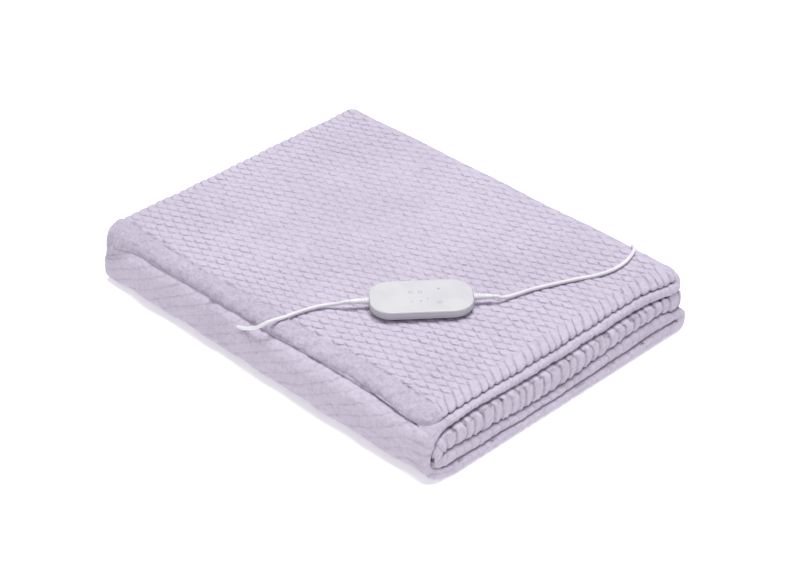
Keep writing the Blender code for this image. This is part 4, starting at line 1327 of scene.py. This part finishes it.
def coil_tie(mat):
    """A flat band round the coil."""
    outside = CLEAR + TIE_THICKNESS
    corners = ((CLEAR, -1), (CLEAR, 1), (outside, 1), (outside, -1))
    rings = []
    for angle in all_round(48):
        out, up = rounded(angle, COIL_ROUNDNESS)
        rings.append([
            coil_point(TIE_ANGLE + edge * TIE_WIDTH / COIL_MIDDLE_DIAMETER,
                       out * (COIL_WIDTH / 2 + extra), up * (COIL_THICKNESS / 2 + extra))
            for extra, edge in corners
        ])
    o = place("coil_tie_band", ring_mesh("coil_tie_band", rings, joined=True), mat, "tie", 50)
    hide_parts("coil_tie")
    return o


# ---- the plug ----


def plug_body(mat):
    """The moulded body with its strain relief, and shallow grip grooves across its sides."""
    rings = []
    for along in sorted({*PLUG_ALONG, *np.linspace(0, PLUG_ALONG[-1], PLUG_STEPS)}):
        width = np.interp(along, PLUG_ALONG, PLUG_WIDTHS)
        thickness = np.interp(along, PLUG_ALONG, PLUG_THICKNESSES)
        groove = sum(
            depth * bell((along - start) / spacing % 1 - 0.5, PLUG_GROOVE_WIDTH)
            for start, end, spacing, depth in PLUG_GROOVES if start < along < end
        )
        ring = []
        for angle in all_round(PLUG_SIDES):
            out, up = rounded(angle + math.pi / PLUG_SIDES, PLUG_ROUNDNESS)
            at = metres(along, out * (width / 2 - groove), up * (thickness / 2 - groove))
            ring.append(on_plug(*at))
        rings.append(ring)
    o = place("plug_shell", ring_mesh("plug_shell", rings), mat, "cord_vinyl", 40)
    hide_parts("plug_body")
    return o


def plug_pin(name, node, side, mat):
    start, radius = PLUG_ALONG[-1] / 1000 + CLEAR, PIN_DIAMETER / 2
    tip = [(start + PIN_LENGTH - PIN_TIP * (1 - s), radius - PIN_TIP_ROUND * (1 - c))
           for c, s in quarter(6)]
    rings = turned_rings(PLUG_PLACE, side * PIN_SPACING / 2, 0, [(start, radius), *tip])
    o = place(name, ring_mesh(name, rings), mat, "pin_metal", 35)
    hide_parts(node)
    return o


# ---- camera, light and floor ----


def points_along(o, way):
    o.rotation_euler = way.to_track_quat("-Z", "Y").to_euler()


def make_camera():
    data = bpy.data.cameras.new("camera")
    data.lens = CAMERA_LENS
    data.sensor_width = CAMERA_SENSOR
    data.clip_end = CAMERA_SEES_TO
    o = add_object("camera", data)
    o.location = CAMERA_AT
    points_along(o, Vector(CAMERA_LOOKS_AT) - Vector(CAMERA_AT))
    bpy.context.scene.camera = o


def make_light():
    """Even light from a bright sky and from one broad sun."""
    world = bpy.data.worlds.new("studio")
    world.use_nodes = True
    background = world.node_tree.nodes["Background"]
    background.inputs["Color"].default_value = (1.0, 1.0, 1.0, 1.0)
    background.inputs["Strength"].default_value = SKY_LIGHT
    bpy.context.scene.world = world
    data = bpy.data.lights.new("key", "SUN")
    data.energy = SUN_LIGHT
    data.angle = math.radians(SUN_SPREAD)
    points_along(add_object("key", data), -Vector(SUN_FROM))
    bpy.context.scene.view_settings.view_transform = "Standard"


def make_floor():
    mesh = bpy.data.meshes.new("floor")
    corners = [(sx * FLOOR_HALF, sy * FLOOR_HALF, FLOOR_HEIGHT) for sx, sy in SQUARE]
    mesh.from_pydata(corners, [], [(0, 1, 2, 3)])
    mesh.materials.append(floor_material())
    add_object("floor", mesh)


def build():
    shell_plastic = moulded_material("control_shell", (0.64, 0.64, 0.66), (0.60, 0.59, 0.63),
                                     0.42, 2600.0)
    vinyl = moulded_material("cord_vinyl", (0.83, 0.82, 0.84), (0.76, 0.74, 0.80), 0.38, 3200.0)
    tie_plastic = moulded_material("tie", (0.78, 0.77, 0.79), (0.70, 0.69, 0.72), 0.5, 1800.0)
    brass = brass_material()

    make_camera()
    make_light()
    make_floor()
    make_blanket(fleece_material())
    control_shells(shell_plastic)
    control_marks(ink_material())
    relief("relief_to_blanket", "relief_lead", -1, vinyl)
    relief("relief_to_mains", "relief_mains", 1, vinyl)
    tie = coil_tie(tie_plastic)
    plug = [
        plug_body(vinyl),
        plug_pin("pin_one", "plug_pin_1", 1, brass),
        plug_pin("pin_two", "plug_pin_2", -1, brass),
    ]
    make_leads(vinyl)


build()
